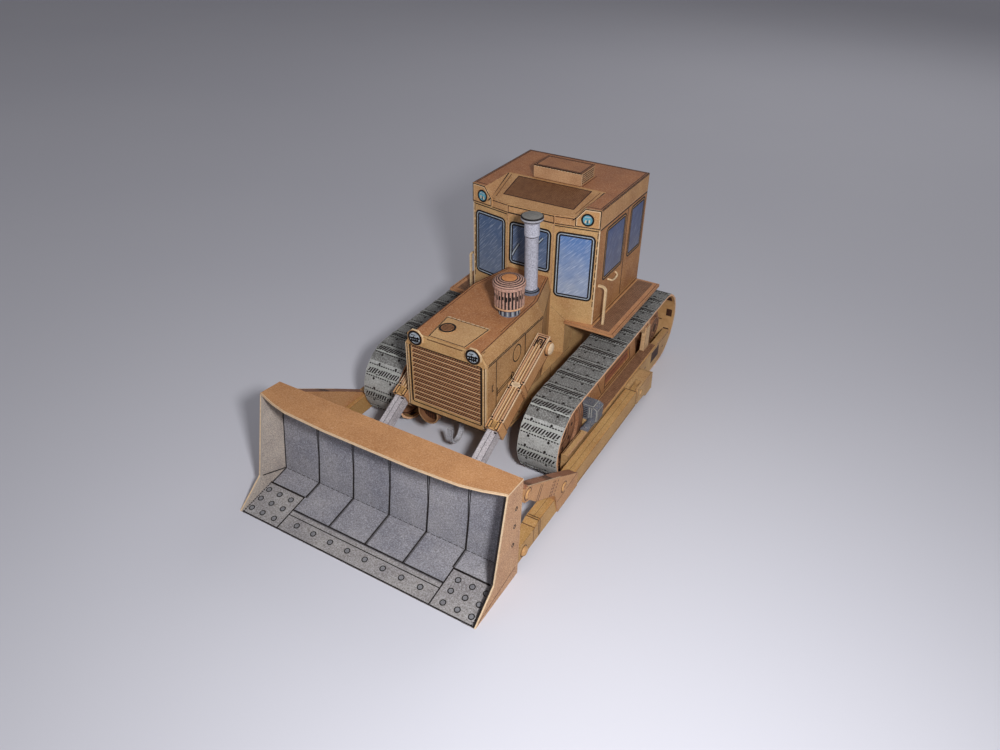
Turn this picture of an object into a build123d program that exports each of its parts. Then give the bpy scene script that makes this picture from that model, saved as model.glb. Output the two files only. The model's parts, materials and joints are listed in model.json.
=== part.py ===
from build123d import *
from math import atan2, cos, degrees, hypot, pi, radians, sin
import os

# A 1:25 card model of a crawler bulldozer with a straight blade. Millimetres.
# +Z is up, the blade is at -Y and +X is the machine's left side. The origin is on
# the floor, under the middle of the model.

os.makedirs("parts", exist_ok=True)
SIDES = (("left", 1), ("right", -1))

# ---- driving dimensions ------------------------------------------------------
CARD = 0.8          # one laminated card wall
GAP = 0.3           # running gap between pieces that move

GRILLE_Y = -44.0    # face of the radiator frame
CAB_Y = 35.1        # face of the cab's centre panel
CAB_CORNER_Y = 39.4
CAB_REAR_Y = 101.0

# hood: half widths of its side walls and of its flat top, and their heights
HOOD_FRONT_Y = GRILLE_Y + 1.6
HOOD_HALF, HOOD_TOP_HALF = 22.0, 18.3
HOOD_BOTTOM_Z, HOOD_SIDE_Z = 28.7, 64.5
HOOD_FRONT_Z, HOOD_REAR_Z = 70.3, 72.6
HOOD_KINK_Y = 10.5  # behind this the hood narrows to the cab's centre panel
WAIST_HALF, WAIST_TOP_HALF, WAIST_SIDE_Z = 13.2, 11.5, 66.4
HOOD_RISE = (HOOD_REAR_Z - HOOD_FRONT_Z) / (CAB_Y - GRILLE_Y)

# grille opening
OPENING_HALF, OPENING_BOTTOM_Z, OPENING_TOP_Z = 19.2, 32.0, 64.2
LOUVRES = 12

# cab
CAB_HALF = 36.3
COWL_HALF, COWL_TOP_Z, COWL_REAR_Y = 21.9, 56.8, 45.1
PLATE_Z, PLATE_THICK = 49.4, 1.6
PLATE_HALF, PLATE_FRONT_Y, PLATE_REAR_Y = 50.0, 35.4, 101.8
ROOF_BAND_Z, ROOF_Z = 102.6, 112.6
HATCH_HALF, HATCH_LOW_HALF, HATCH_LOW_Z = 28.0, 23.3, 106.8
HATCH_LOW_Y, HATCH_REAR_Y = CAB_Y - 2.0, 61.5

# hull between the tracks
HULL_HALF, BELLY_Z, HULL_FRONT_Y = 22.0, 16.0, -28.0
HULL_SLOPE_HIGH, HULL_FRONT_SLOPE, HULL_REAR_SLOPE = 6.0, 8.0, 6.0
HULL_TOP_Z = PLATE_Z - PLATE_THICK

# track loop: idler in front, sprocket behind
TRACK_INNER_X, TRACK_OUTER_X = 35.2, 56.2
IDLER_Y, IDLER_R = -17.0, 20.5
SPROCKET_Y, SPROCKET_R = 99.8, 21.5
BAND = 1.0          # thickness of the track band
SHOES, GROUSER_HIGH, GROUSER_LONG = 28, 0.3, 2.6
IDLER_Z = IDLER_R + GROUSER_HIGH
SPROCKET_Z = SPROCKET_R + GROUSER_HIGH

# track frame and what it carries
FRAME_INNER_X, FRAME_BOTTOM_Z, FRAME_TOP_Z = 38.5, 1.8, 15.2
FRAME_FRONT_Y, FRAME_REAR_Y = 4.0, 76.0
LEDGE_INNER_X, LEDGE_OUTER_X = 52.6, 56.4
LEDGE_FRONT_Y, LEDGE_REAR_Y = -25.0, 113.0
# the ledge's lower corners: distance in from its front or rear end, and height
LEDGE_FRONT_FOOT = ((0.0, 5.0), (4.0, 2.2), (9.0, FRAME_BOTTOM_Z))
LEDGE_REAR_FOOT = ((13.2, FRAME_BOTTOM_Z), (5.2, 3.8), (0.0, 6.8))
STEP_FRONT_Y, STEP_REAR_Y, STEP_INNER_X, STEP_OUTER_X = 13.4, 91.4, 49.8, 57.0

# push arms and their pivots on the track frames
ARM_INNER_X, ARM_OUTER_X = 57.6, 64.1
ARM_BOTTOM_Z, ARM_TOP_Z, ARM_FRONT_TOP_Z = 5.4, 14.8, 13.6
ARM_SEAM_Y, BRACKET_FRONT_Y, BRACKET_REAR_Y = 42.8, 44.2, 67.6
PIVOT_Y, PIVOT_Z, PIN_R, BOSS_R = 49.0, 10.5, 1.2, 1.7

# blade: its section seen from the side, as (y, z)
BLADE_HALF, END_PLATE = 64.1, 1.6
FACE_HALF = BLADE_HALF - END_PLATE
TIP = (-121.6, 0.0)
FOLD = (-92.3, 5.2)
FACE_TOP = (-86.2, 50.4)
BACK_TOP = (-85.1, 50.4)
BACK_FOOT = (-87.9, 0.0)
END_KINK = (-107.1, 10.8)
END_TOP = (-97.3, 51.4)
EDGE_HALF, EDGE_DEEP, BIT_DEEP, EDGE_THICK = 41.4, 10.9, 19.9, 0.5

# lift cylinders beside the hood, from their trunnions to the rods' eyes
TRUNNION_Y, TRUNNION_Z, TRUNNION_R = 1.6, 53.4, 1.8
EYE_Y, EYE_Z, EYE_R, EYE_PIN_R = -81.0, 11.8, 3.4, 1.2
CYLINDER_X = 26.3
STROKE_LINE = hypot(TRUNNION_Y - EYE_Y, TRUNNION_Z - EYE_Z)
CYLINDER_ANGLE = degrees(atan2(TRUNNION_Z - EYE_Z, TRUNNION_Y - EYE_Y))
CASING_HALF, CASING_HALF_DEEP, CASING_ABOVE, CASING_BELOW = 3.5, 4.2, 4.4, 51.4
BORE_HALF, BORE_HALF_DEEP, BORE_TOP = 2.95, 3.1, 6.0
ROD_HALF, ROD_HALF_DEEP, ROD_INSIDE = 2.7, 2.8, 22.0


def back_y(z):
    """The y of the blade's back wall at height z."""
    return BACK_FOOT[0] + (BACK_TOP[0] - BACK_FOOT[0]) * z / BACK_TOP[1]


def arc_points(middle, radius, first, last, sides):
    """Points on an arc from the angle `first` to `last`, in degrees, as a rolled card lies."""
    turns = [radians(first + (last - first) * side / sides) for side in range(sides + 1)]
    return [(middle[0] + radius * cos(turn), middle[1] + radius * sin(turn)) for turn in turns]


def window_outline(middle, height, wide, high, corner):
    """The outline of a window, each corner rounded by two short sides."""
    outline = []
    for first, right, up in ((0, 1, 1), (90, -1, 1), (180, -1, -1), (270, 1, -1)):
        centre = (middle + right * (wide / 2 - corner), height + up * (high / 2 - corner))
        outline += arc_points(centre, corner, first, first + 90, 2)
    return outline


def hood_plane(y):
    """A plane on the hood's sloping top, its origin on the middle line at y."""
    z = HOOD_FRONT_Z + HOOD_RISE * (y - GRILLE_Y)
    return Plane(origin=(0, y, z), x_dir=(1, 0, 0), z_dir=(0, -HOOD_RISE, 1))


# ---- hull --------------------------------------------------------------------
with BuildPart() as hull:
    with BuildSketch(Plane.YZ.offset(-HULL_HALF)):
        Polygon(
            (HULL_FRONT_Y, HOOD_BOTTOM_Z),
            (HULL_FRONT_Y, BELLY_Z + HULL_SLOPE_HIGH),
            (HULL_FRONT_Y + HULL_FRONT_SLOPE, BELLY_Z),
            (CAB_REAR_Y - HULL_REAR_SLOPE, BELLY_Z),
            (CAB_REAR_Y, BELLY_Z + HULL_SLOPE_HIGH),
            (CAB_REAR_Y, HULL_TOP_Z),
            (COWL_REAR_Y, HULL_TOP_Z),
            (COWL_REAR_Y, HOOD_BOTTOM_Z),
            align=None,
        )
    extrude(amount=2 * HULL_HALF)
hull.part.label = "hull"
export_step(hull.part, "parts/hull.step")

# half-round sump nose under the front of the hood, on the machine's right, its end sunk
NOSE_X, NOSE_Y, NOSE_Z, NOSE_R, NOSE_SUNK, NOSE_SIDES = -11.3, -43.5, 26.4, 5.8, 3.0, 16
with BuildPart() as sump_nose:
    for radius, deep, mode in (
        (NOSE_R, HULL_FRONT_Y - NOSE_Y, Mode.ADD),
        (NOSE_R - CARD, NOSE_SUNK, Mode.SUBTRACT),
    ):
        with BuildSketch(Plane.XZ.offset(-NOSE_Y)):
            Polygon(
                (NOSE_X + radius, HOOD_BOTTOM_Z),
                (NOSE_X - radius, HOOD_BOTTOM_Z),
                *arc_points((NOSE_X, NOSE_Z), radius, 180, 360, NOSE_SIDES),
                align=None,
            )
        extrude(amount=-deep, mode=mode)
sump_nose.part.label = "sump_nose"
export_step(sump_nose.part, "parts/sump_nose.step")

# front towing hook: a flat strip bent into a J
HOOK_R, HOOK_THICK, HOOK_WIDE, HOOK_BEND_R = 5.2, 1.2, 2.4, 1.5
HOOK_ROOT_Z, HOOK_LOW_Z, HOOK_TIP_Z, HOOK_REACH = 24.0, 15.0, 20.5, 3.3
HOOK_BEND = (HULL_FRONT_Y - HOOK_REACH + HOOK_BEND_R, HOOK_ROOT_Z - HOOK_BEND_R)
HOOK_BOW = (HULL_FRONT_Y - HOOK_REACH - HOOK_R, HOOK_LOW_Z)
HOOK_LINE = []
for side_of_strip, order in ((-HOOK_THICK / 2, 1), (HOOK_THICK / 2, -1)):
    edge = [(HULL_FRONT_Y - HOOK_THICK / 2, HOOK_ROOT_Z - side_of_strip)]
    edge += arc_points(HOOK_BEND, HOOK_BEND_R - side_of_strip, 90, 180, 3)
    edge += arc_points(HOOK_BOW, HOOK_R + side_of_strip, 0, -180, 12)
    edge.append((HOOK_BOW[0] - HOOK_R - side_of_strip, HOOK_TIP_Z))
    HOOK_LINE += edge[::order]
with BuildPart() as tow_hook:
    with BuildSketch(Plane.YZ):
        Polygon(*HOOK_LINE, align=None)
    extrude(amount=HOOK_WIDE / 2, both=True)
tow_hook.part.label = "tow_hook"
export_step(tow_hook.part, "parts/tow_hook.step")

# rear drawbar, an upright pin's bore through its tongue
DRAWBAR_Z, DRAWBAR_THICK, DRAWBAR_BORE_R, DRAWBAR_Y, DRAWBAR_R = 24.0, 3.0, 1.5, 110.0, 4.0
DRAWBAR_FLANGE, FLANGE_HIGH, FLANGE_THICK = 16.0, 9.0, 1.2
with BuildPart() as drawbar:
    with BuildSketch(Plane.XY.offset(DRAWBAR_Z)):
        with Locations((0, DRAWBAR_Y)):
            Circle(DRAWBAR_R)
        with Locations((0, CAB_REAR_Y)):
            Rectangle(2 * DRAWBAR_R, DRAWBAR_Y - CAB_REAR_Y, align=(Align.CENTER, Align.MIN))
        with Locations((0, DRAWBAR_Y)):
            Circle(DRAWBAR_BORE_R, mode=Mode.SUBTRACT)
    extrude(amount=DRAWBAR_THICK)
    with BuildSketch(Plane.XZ.offset(-CAB_REAR_Y)):
        with Locations((0, DRAWBAR_Z + DRAWBAR_THICK / 2)):
            Rectangle(DRAWBAR_FLANGE, FLANGE_HIGH)
    extrude(amount=-FLANGE_THICK)
drawbar.part.label = "drawbar"
export_step(drawbar.part, "parts/drawbar.step")

# ---- hood --------------------------------------------------------------------
# sections as (y, half width, half width of the top, height of the side walls)
HOOD_SECTIONS = (
    (HOOD_FRONT_Y, HOOD_HALF, HOOD_TOP_HALF, HOOD_SIDE_Z),
    (HOOD_KINK_Y, HOOD_HALF, HOOD_TOP_HALF, HOOD_SIDE_Z),
    (CAB_Y, WAIST_HALF, WAIST_TOP_HALF, WAIST_SIDE_Z),
)
with BuildPart() as hood:
    for y, half, top_half, side_z in HOOD_SECTIONS:
        top_z = HOOD_FRONT_Z + HOOD_RISE * (y - GRILLE_Y)
        with BuildSketch(Plane.XZ.offset(-y)):
            Polygon(
                (-half, HOOD_BOTTOM_Z),
                (half, HOOD_BOTTOM_Z),
                (half, side_z),
                (top_half, top_z),
                (-top_half, top_z),
                (-half, side_z),
                align=None,
            )
    loft(ruled=True)
hood.part.label = "hood"
export_step(hood.part, "parts/hood.step")

with BuildPart() as radiator_frame:
    with BuildSketch(Plane.XZ.offset(-HOOD_FRONT_Y)):
        Polygon(
            (-HOOD_HALF, HOOD_BOTTOM_Z),
            (HOOD_HALF, HOOD_BOTTOM_Z),
            (HOOD_HALF, HOOD_SIDE_Z),
            (HOOD_TOP_HALF, HOOD_FRONT_Z),
            (-HOOD_TOP_HALF, HOOD_FRONT_Z),
            (-HOOD_HALF, HOOD_SIDE_Z),
            align=None,
        )
        with Locations((0, OPENING_BOTTOM_Z)):
            Rectangle(
                2 * OPENING_HALF,
                OPENING_TOP_Z - OPENING_BOTTOM_Z,
                align=(Align.CENTER, Align.MIN),
                mode=Mode.SUBTRACT,
            )
    extrude(amount=HOOD_FRONT_Y - GRILLE_Y)
radiator_frame.part.label = "radiator_frame"
export_step(radiator_frame.part, "parts/radiator_frame.step")

# louvres: a row of sloping slats on a thin backing card, set into the opening
LOUVRE_PITCH = (OPENING_TOP_Z - OPENING_BOTTOM_Z) / LOUVRES
LOUVRE_BACK, LOUVRE_PROUD, LOUVRE_CLEAR, SLAT_SHARE, SLAT_LIP = 0.4, 0.9, 0.1, 0.68, 0.2
with BuildPart() as radiator_louvres:
    with BuildSketch(Plane.YZ.offset(-OPENING_HALF + LOUVRE_CLEAR)):
        with Locations((HOOD_FRONT_Y, OPENING_BOTTOM_Z + LOUVRE_CLEAR)):
            Rectangle(
                LOUVRE_BACK,
                OPENING_TOP_Z - OPENING_BOTTOM_Z - 2 * LOUVRE_CLEAR,
                align=(Align.MAX, Align.MIN),
            )
        for slat in range(LOUVRES):
            with Locations((HOOD_FRONT_Y - LOUVRE_BACK, OPENING_BOTTOM_Z + (slat + 0.25) * LOUVRE_PITCH)):
                Polygon(
                    (0, 0),
                    (0, SLAT_SHARE * LOUVRE_PITCH),
                    (-LOUVRE_PROUD, SLAT_LIP),
                    (-LOUVRE_PROUD, 0),
                    align=None,
                )
    extrude(amount=2 * (OPENING_HALF - LOUVRE_CLEAR))
radiator_louvres.part.label = "radiator_louvres"
export_step(radiator_louvres.part, "parts/radiator_louvres.step")

# eight-sided headlight plates on the upper corners of the radiator frame
HEADLIGHT_X, HEADLIGHT_Z, HEADLIGHT_R, HEADLIGHT_THICK = 15.6, 69.2, 4.4, 1.0
with BuildPart() as headlights:
    with BuildSketch(Plane.XZ.offset(-GRILLE_Y)):
        with Locations((HEADLIGHT_X, HEADLIGHT_Z), (-HEADLIGHT_X, HEADLIGHT_Z)):
            RegularPolygon(HEADLIGHT_R, 8, rotation=22.5)
    extrude(amount=HEADLIGHT_THICK)
headlights.part.label = "headlights"
export_step(headlights.part, "parts/headlights.step")

# filler panel on the front of the hood, with the radiator's cap
FILLER_LONG, FILLER_FRONT_HALF, FILLER_REAR_HALF, FILLER_THICK = 19.0, 9.8, 11.8, 0.5
FILLER_CAP_X, FILLER_CAP_ALONG, FILLER_CAP_R = -5.6, 9.6, 4.2
with BuildPart() as filler_panel:
    with BuildSketch(hood_plane(HOOD_FRONT_Y)):
        Polygon(
            (-FILLER_FRONT_HALF, 0),
            (FILLER_FRONT_HALF, 0),
            (FILLER_REAR_HALF, FILLER_LONG),
            (-FILLER_REAR_HALF, FILLER_LONG),
            align=None,
        )
    extrude(amount=FILLER_THICK)
    with BuildSketch(hood_plane(HOOD_FRONT_Y).offset(FILLER_THICK)):
        with Locations((FILLER_CAP_X, FILLER_CAP_ALONG)):
            Circle(FILLER_CAP_R)
    extrude(amount=FILLER_THICK)
filler_panel.part.label = "filler_panel"
export_step(filler_panel.part, "parts/filler_panel.step")

# rolled pieces on the hood: where each stands, and its rings as (radius, foot, top, mode), their
# heights over the hood
ROLLED_SIDES = 28
CLEANER_X, CLEANER_Y = 11.3, -5.0
CLEANER_RINGS = (
    (5.2, 0.0, 3.8, Mode.ADD),
    (7.3, 3.8, 14.9, Mode.ADD),
    (7.9, 14.9, 17.6, Mode.ADD),
    (6.9, 17.6, 18.6, Mode.ADD),
)
EXHAUST_X, EXHAUST_Y = 10.9, 17.2
EXHAUST_RINGS = (
    (4.4, 0.0, 1.8, Mode.ADD),
    (3.3, 1.8, 31.0, Mode.ADD),
    (3.7, 31.0, 38.2, Mode.ADD),
    (5.5, 38.2, 41.0, Mode.ADD),
    (4.6, 39.4, 41.0, Mode.SUBTRACT),
)
for name, x, y, rings in (
    ("air_cleaner", CLEANER_X, CLEANER_Y, CLEANER_RINGS),
    ("exhaust", EXHAUST_X, EXHAUST_Y, EXHAUST_RINGS),
):
    with BuildPart() as rolled:
        for radius, foot, top, mode in rings:
            with BuildSketch(hood_plane(y).offset(foot)):
                with Locations((x, 0)):
                    RegularPolygon(radius, ROLLED_SIDES)
            extrude(amount=top - foot, mode=mode)
    rolled.part.label = name
    export_step(rolled.part, f"parts/{name}.step")

# ---- cab ---------------------------------------------------------------------
# corners of the cab's plan, counter-clockwise from the front's right-hand corner
CAB_PLAN = (
    Vector(-CAB_HALF, CAB_CORNER_Y),
    Vector(-WAIST_HALF, CAB_Y),
    Vector(WAIST_HALF, CAB_Y),
    Vector(CAB_HALF, CAB_CORNER_Y),
    Vector(CAB_HALF, CAB_REAR_Y),
    Vector(-CAB_HALF, CAB_REAR_Y),
)
PANELS = ("cab_front_right", "cab_front", "cab_front_left", "cab_side_left", "cab_rear", "cab_side_right")


def inner_corner(index):
    """The inside corner of the cab's walls at a corner of its plan, on the mitre."""
    here = CAB_PLAN[index]
    ahead = (CAB_PLAN[(index + 1) % len(CAB_PLAN)] - here).normalized()
    behind = (here - CAB_PLAN[index - 1]).normalized()
    normals = [Vector(-way.Y, way.X) for way in (behind, ahead)]
    mitre = (normals[0] + normals[1]).normalized()
    return here + mitre * (CARD / mitre.dot(normals[1]))


# windows, printed on the card and scored round: panel, middle along it, middle
# height, width, height
WINDOWS = (
    ("cab_front_right", 12.0, 81.0, 19.2, 35.0),
    ("cab_front", 13.2, 87.2, 23.2, 22.4),
    ("cab_front_left", 11.5, 81.0, 19.2, 35.0),
    ("cab_side_left", 20.6, 86.0, 25.0, 28.2),
    ("cab_side_left", 49.4, 86.4, 19.0, 28.2),
    ("cab_side_right", 41.0, 86.0, 25.0, 28.2),
    ("cab_side_right", 12.2, 86.4, 19.0, 28.2),
    ("cab_rear", 36.3, 85.0, 52.0, 27.0),
)
WINDOW_CORNER, SCORE, CUT_MARGIN = 2.4, 0.15, 1.0
cab = {}
for index, name in enumerate(PANELS):
    start, end = CAB_PLAN[index], CAB_PLAN[(index + 1) % len(CAB_PLAN)]
    way = (end - start).normalized()
    foot_z = COWL_TOP_Z if name == "cab_front" else PLATE_Z
    face = Plane(origin=start, x_dir=way, z_dir=(way.Y, -way.X, 0))
    with BuildPart() as panel:
        with BuildSketch(Plane.XY.offset(foot_z)):
            outline = (start, end, inner_corner((index + 1) % len(CAB_PLAN)), inner_corner(index))
            Polygon(*[(corner.X, corner.Y) for corner in outline], align=None)
        extrude(amount=ROOF_BAND_Z - foot_z)
        if name in ("cab_front_left", "cab_front_right"):
            # the foot is cut away beside the cowl
            with BuildSketch(Plane.XZ.offset(-CAB_Y + CUT_MARGIN)):
                for sign in (1, -1):
                    Polygon(
                        (sign * (WAIST_HALF - CUT_MARGIN), COWL_TOP_Z),
                        (sign * WAIST_HALF, COWL_TOP_Z),
                        (sign * COWL_HALF, PLATE_Z),
                        (sign * (WAIST_HALF - CUT_MARGIN), PLATE_Z),
                        align=None,
                    )
            extrude(amount=-COWL_REAR_Y + CAB_Y - CUT_MARGIN, mode=Mode.SUBTRACT)
        panes = [window for window in WINDOWS if window[0] == name]
        for _, middle, height_z, wide, high in panes:
            with BuildSketch(face):
                Polygon(*window_outline(middle, height_z, wide, high, WINDOW_CORNER), align=None)
            extrude(amount=-SCORE, mode=Mode.SUBTRACT)
    panel.part.label = name
    export_step(panel.part, f"parts/{name}.step")

# cowl: the body below the cab's front, which closes the waist of the hood
COWL_SIDE_Y = CAB_Y + (COWL_HALF - WAIST_HALF) * (CAB_CORNER_Y - CAB_Y) / (CAB_HALF - WAIST_HALF)
with BuildPart() as cab_cowl:
    with BuildSketch(Plane.XY.offset(HOOD_BOTTOM_Z)):
        Polygon(
            (-WAIST_HALF, CAB_Y),
            (WAIST_HALF, CAB_Y),
            (COWL_HALF, COWL_SIDE_Y),
            (COWL_HALF, COWL_REAR_Y),
            (-COWL_HALF, COWL_REAR_Y),
            (-COWL_HALF, COWL_SIDE_Y),
            align=None,
        )
    extrude(amount=COWL_TOP_Z - HOOD_BOTTOM_Z)
    with BuildSketch(Plane.XZ.offset(-CAB_Y + CUT_MARGIN)):
        for sign in (1, -1):
            Polygon(
                (sign * WAIST_HALF, COWL_TOP_Z),
                (sign * (COWL_HALF + CUT_MARGIN), COWL_TOP_Z),
                (sign * (COWL_HALF + CUT_MARGIN), PLATE_Z),
                (sign * COWL_HALF, PLATE_Z),
                align=None,
            )
    extrude(amount=-COWL_REAR_Y + CAB_Y - 2 * CUT_MARGIN, mode=Mode.SUBTRACT)
cab_cowl.part.label = "cab_cowl"
export_step(cab_cowl.part, "parts/cab_cowl.step")

with BuildPart() as floor_plate:
    with BuildSketch(Plane.XY.offset(HULL_TOP_Z)):
        with Locations((0, PLATE_FRONT_Y)):
            Rectangle(2 * PLATE_HALF, PLATE_REAR_Y - PLATE_FRONT_Y, align=(Align.CENTER, Align.MIN))
            Rectangle(
                2 * COWL_HALF,
                COWL_REAR_Y - PLATE_FRONT_Y,
                align=(Align.CENTER, Align.MIN),
                mode=Mode.SUBTRACT,
            )
    extrude(amount=PLATE_THICK)
floor_plate.part.label = "floor_plate"
export_step(floor_plate.part, "parts/floor_plate.step")

# roof: a lid over the cab's walls, its front dropped between the lamp plates
with BuildPart() as cab_roof:
    with BuildSketch(Plane.XY.offset(ROOF_BAND_Z)):
        Polygon(*[(corner.X, corner.Y) for corner in CAB_PLAN], align=None)
    extrude(amount=ROOF_Z - ROOF_BAND_Z)
    with BuildSketch(Plane.XZ.offset(-HATCH_LOW_Y)):
        Polygon(
            (-HATCH_LOW_HALF, HATCH_LOW_Z),
            (HATCH_LOW_HALF, HATCH_LOW_Z),
            (HATCH_HALF, ROOF_Z),
            (-HATCH_HALF, ROOF_Z),
            align=None,
        )
    trough = extrude(amount=HATCH_LOW_Y - HATCH_REAR_Y, mode=Mode.PRIVATE)
    with BuildSketch(Plane.YZ.offset(-HATCH_HALF)):
        Polygon((HATCH_LOW_Y, HATCH_LOW_Z), (HATCH_REAR_Y, ROOF_Z), (HATCH_LOW_Y, ROOF_Z), align=None)
    wedge = extrude(amount=2 * HATCH_HALF, mode=Mode.PRIVATE)
    add(trough & wedge, mode=Mode.SUBTRACT)
    offset(amount=-CARD, openings=cab_roof.faces().sort_by(Axis.Z)[0])
cab_roof.part.label = "cab_roof"
export_step(cab_roof.part, "parts/cab_roof.step")

# air box on the roof, its sides slatted
BOX_HALF, BOX_FRONT_Y, BOX_REAR_Y, BOX_Z = 13.8, 63.0, 79.4, 119.3
SLOTS, SLOT_PITCH, SLOT_HIGH, SLOT_DEEP, SLOT_END = 5, 1.1, 0.5, 0.3, 1.2
with BuildPart() as roof_box:
    with BuildSketch(Plane.XY.offset(ROOF_Z)):
        with Locations((0, BOX_FRONT_Y)):
            Rectangle(2 * BOX_HALF, BOX_REAR_Y - BOX_FRONT_Y, align=(Align.CENTER, Align.MIN))
    extrude(amount=BOX_Z - ROOF_Z)
    with BuildSketch(Plane.YZ.offset(BOX_HALF)):
        with Locations(((BOX_FRONT_Y + BOX_REAR_Y) / 2, (ROOF_Z + BOX_Z) / 2)):
            with GridLocations(0, SLOT_PITCH, 1, SLOTS):
                Rectangle(BOX_REAR_Y - BOX_FRONT_Y - 2 * SLOT_END, SLOT_HIGH)
    slots = extrude(amount=-SLOT_DEEP, mode=Mode.SUBTRACT)
    mirror(slots, about=Plane.YZ, mode=Mode.SUBTRACT)
roof_box.part.label = "roof_box"
export_step(roof_box.part, "parts/roof_box.step")

# lamp plates on the roof's front corners, each in the plane of its side panel
LAMP_PLATE, LAMP_FOOT_Z = 0.5, ROOF_BAND_Z + 0.2
PANEL_LONG = hypot(CAB_HALF - WAIST_HALF, CAB_CORNER_Y - CAB_Y)
LOW_ALONG = (HATCH_LOW_HALF - WAIST_HALF) / (CAB_HALF - WAIST_HALF) * PANEL_LONG
HIGH_ALONG = (HATCH_HALF - WAIST_HALF) / (CAB_HALF - WAIST_HALF) * PANEL_LONG
with BuildPart() as roof_lamps:
    for sign in (1, -1):
        way = Vector(sign * (CAB_HALF - WAIST_HALF), CAB_CORNER_Y - CAB_Y).normalized()
        # the sketch's height runs up on one side of the cab and down on the other
        out = Vector(sign * way.Y, -sign * way.X)
        with BuildSketch(Plane(origin=(sign * WAIST_HALF, CAB_Y, 0), x_dir=way, z_dir=out)):
            Polygon(
                (LOW_ALONG, sign * LAMP_FOOT_Z),
                (PANEL_LONG, sign * LAMP_FOOT_Z),
                (PANEL_LONG, sign * ROOF_Z),
                (HIGH_ALONG, sign * ROOF_Z),
                (LOW_ALONG, sign * HATCH_LOW_Z),
                align=None,
            )
        extrude(amount=LAMP_PLATE)
roof_lamps.part.label = "roof_lamps"
export_step(roof_lamps.part, "parts/roof_lamps.step")

# grab rails: a bent strip from each front corner of the cab down to the floor plate
RAIL_OUT_X, RAIL_Y, RAIL_TOP_Z, RAIL = 40.6, 43.0, 71.0, 1.1
for side, sign in SIDES:
    with BuildPart() as grab_rail:
        with BuildLine() as path:
            FilletPolyline(
                (sign * CAB_HALF, RAIL_Y, RAIL_TOP_Z),
                (sign * RAIL_OUT_X, RAIL_Y, RAIL_TOP_Z),
                (sign * RAIL_OUT_X, RAIL_Y, PLATE_Z),
                radius=2.2,
            )
        with BuildSketch(Plane(origin=path.line @ 0, z_dir=path.line % 0)):
            Rectangle(RAIL, RAIL)
        sweep()
    grab_rail.part.label = f"grab_rail_{side}"
    export_step(grab_rail.part, f"parts/grab_rail_{side}.step")

# ---- tracks ------------------------------------------------------------------
# the band's middle line as seen from the side: a belt round two circles
RUN_Y, RUN_Z = SPROCKET_Y - IDLER_Y, SPROCKET_Z - IDLER_Z
RUN_ANGLE = atan2(RUN_Z, RUN_Y)
WRAP = atan2(SPROCKET_R - IDLER_R, hypot(RUN_Y, RUN_Z))
TOP_ANGLE, LOW_ANGLE = RUN_ANGLE + WRAP, RUN_ANGLE - WRAP
STRAIGHT = hypot(RUN_Y, RUN_Z) * cos(WRAP)
IDLER_WRAP, SPROCKET_WRAP = pi - 2 * WRAP, pi + 2 * WRAP
LOOP_LONG = 2 * STRAIGHT + IDLER_R * IDLER_WRAP + SPROCKET_R * SPROCKET_WRAP


def loop_point(reach, inset=0.0):
    """A point of the track's outer line and its outward angle, `reach` along it.

    It starts on top of the idler and runs rearwards along the upper run.
    """
    top_out, low_out = TOP_ANGLE + pi / 2, LOW_ANGLE - pi / 2
    rear_end = STRAIGHT + SPROCKET_R * SPROCKET_WRAP
    reach %= LOOP_LONG
    if reach < STRAIGHT:
        y, z, radius, out, slide = IDLER_Y, IDLER_Z, IDLER_R, top_out, reach
    elif reach < rear_end:
        turn = (reach - STRAIGHT) / SPROCKET_R
        y, z, radius, out, slide = SPROCKET_Y, SPROCKET_Z, SPROCKET_R, top_out - turn, 0.0
    elif reach < rear_end + STRAIGHT:
        y, z, radius, out, slide = SPROCKET_Y, SPROCKET_Z, SPROCKET_R, low_out, reach - rear_end
    else:
        turn = (reach - rear_end - STRAIGHT) / IDLER_R
        y, z, radius, out, slide = IDLER_Y, IDLER_Z, IDLER_R, low_out - turn, 0.0
    way = out - pi / 2
    return (
        y + (radius - inset) * cos(out) + slide * cos(way),
        z + (radius - inset) * sin(out) + slide * sin(way),
        degrees(out),
    )


TRACK_WIDE = TRACK_OUTER_X - TRACK_INNER_X
BARS = [loop_point((shoe + 0.5) * LOOP_LONG / SHOES) for shoe in range(SHOES)]
RUN_ENDS = (0.0, STRAIGHT, STRAIGHT + SPROCKET_R * SPROCKET_WRAP, LOOP_LONG - IDLER_R * IDLER_WRAP)
for side, sign in SIDES:
    with BuildPart() as track:
        with BuildSketch(Plane.YZ.offset(sign * TRACK_INNER_X)):
            for inset, mode in ((0.0, Mode.ADD), (BAND, Mode.SUBTRACT)):
                ends = [loop_point(end, inset)[:2] for end in RUN_ENDS]
                top_idler, top_sprocket, low_sprocket, low_idler = ends
                with BuildLine():
                    Line(top_idler, top_sprocket)
                    ThreePointArc(top_sprocket, (SPROCKET_Y + SPROCKET_R - inset, SPROCKET_Z), low_sprocket)
                    Line(low_sprocket, low_idler)
                    ThreePointArc(low_idler, (IDLER_Y - IDLER_R + inset, IDLER_Z), top_idler)
                make_face(mode=mode)
            for y, z, out in BARS:
                with Locations(Location((y, z, 0), (0, 0, out))):
                    Rectangle(2 * GROUSER_HIGH, GROUSER_LONG)
        extrude(amount=sign * TRACK_WIDE)
    track.part.label = f"track_{side}"
    export_step(track.part, f"parts/track_{side}.step")

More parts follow.
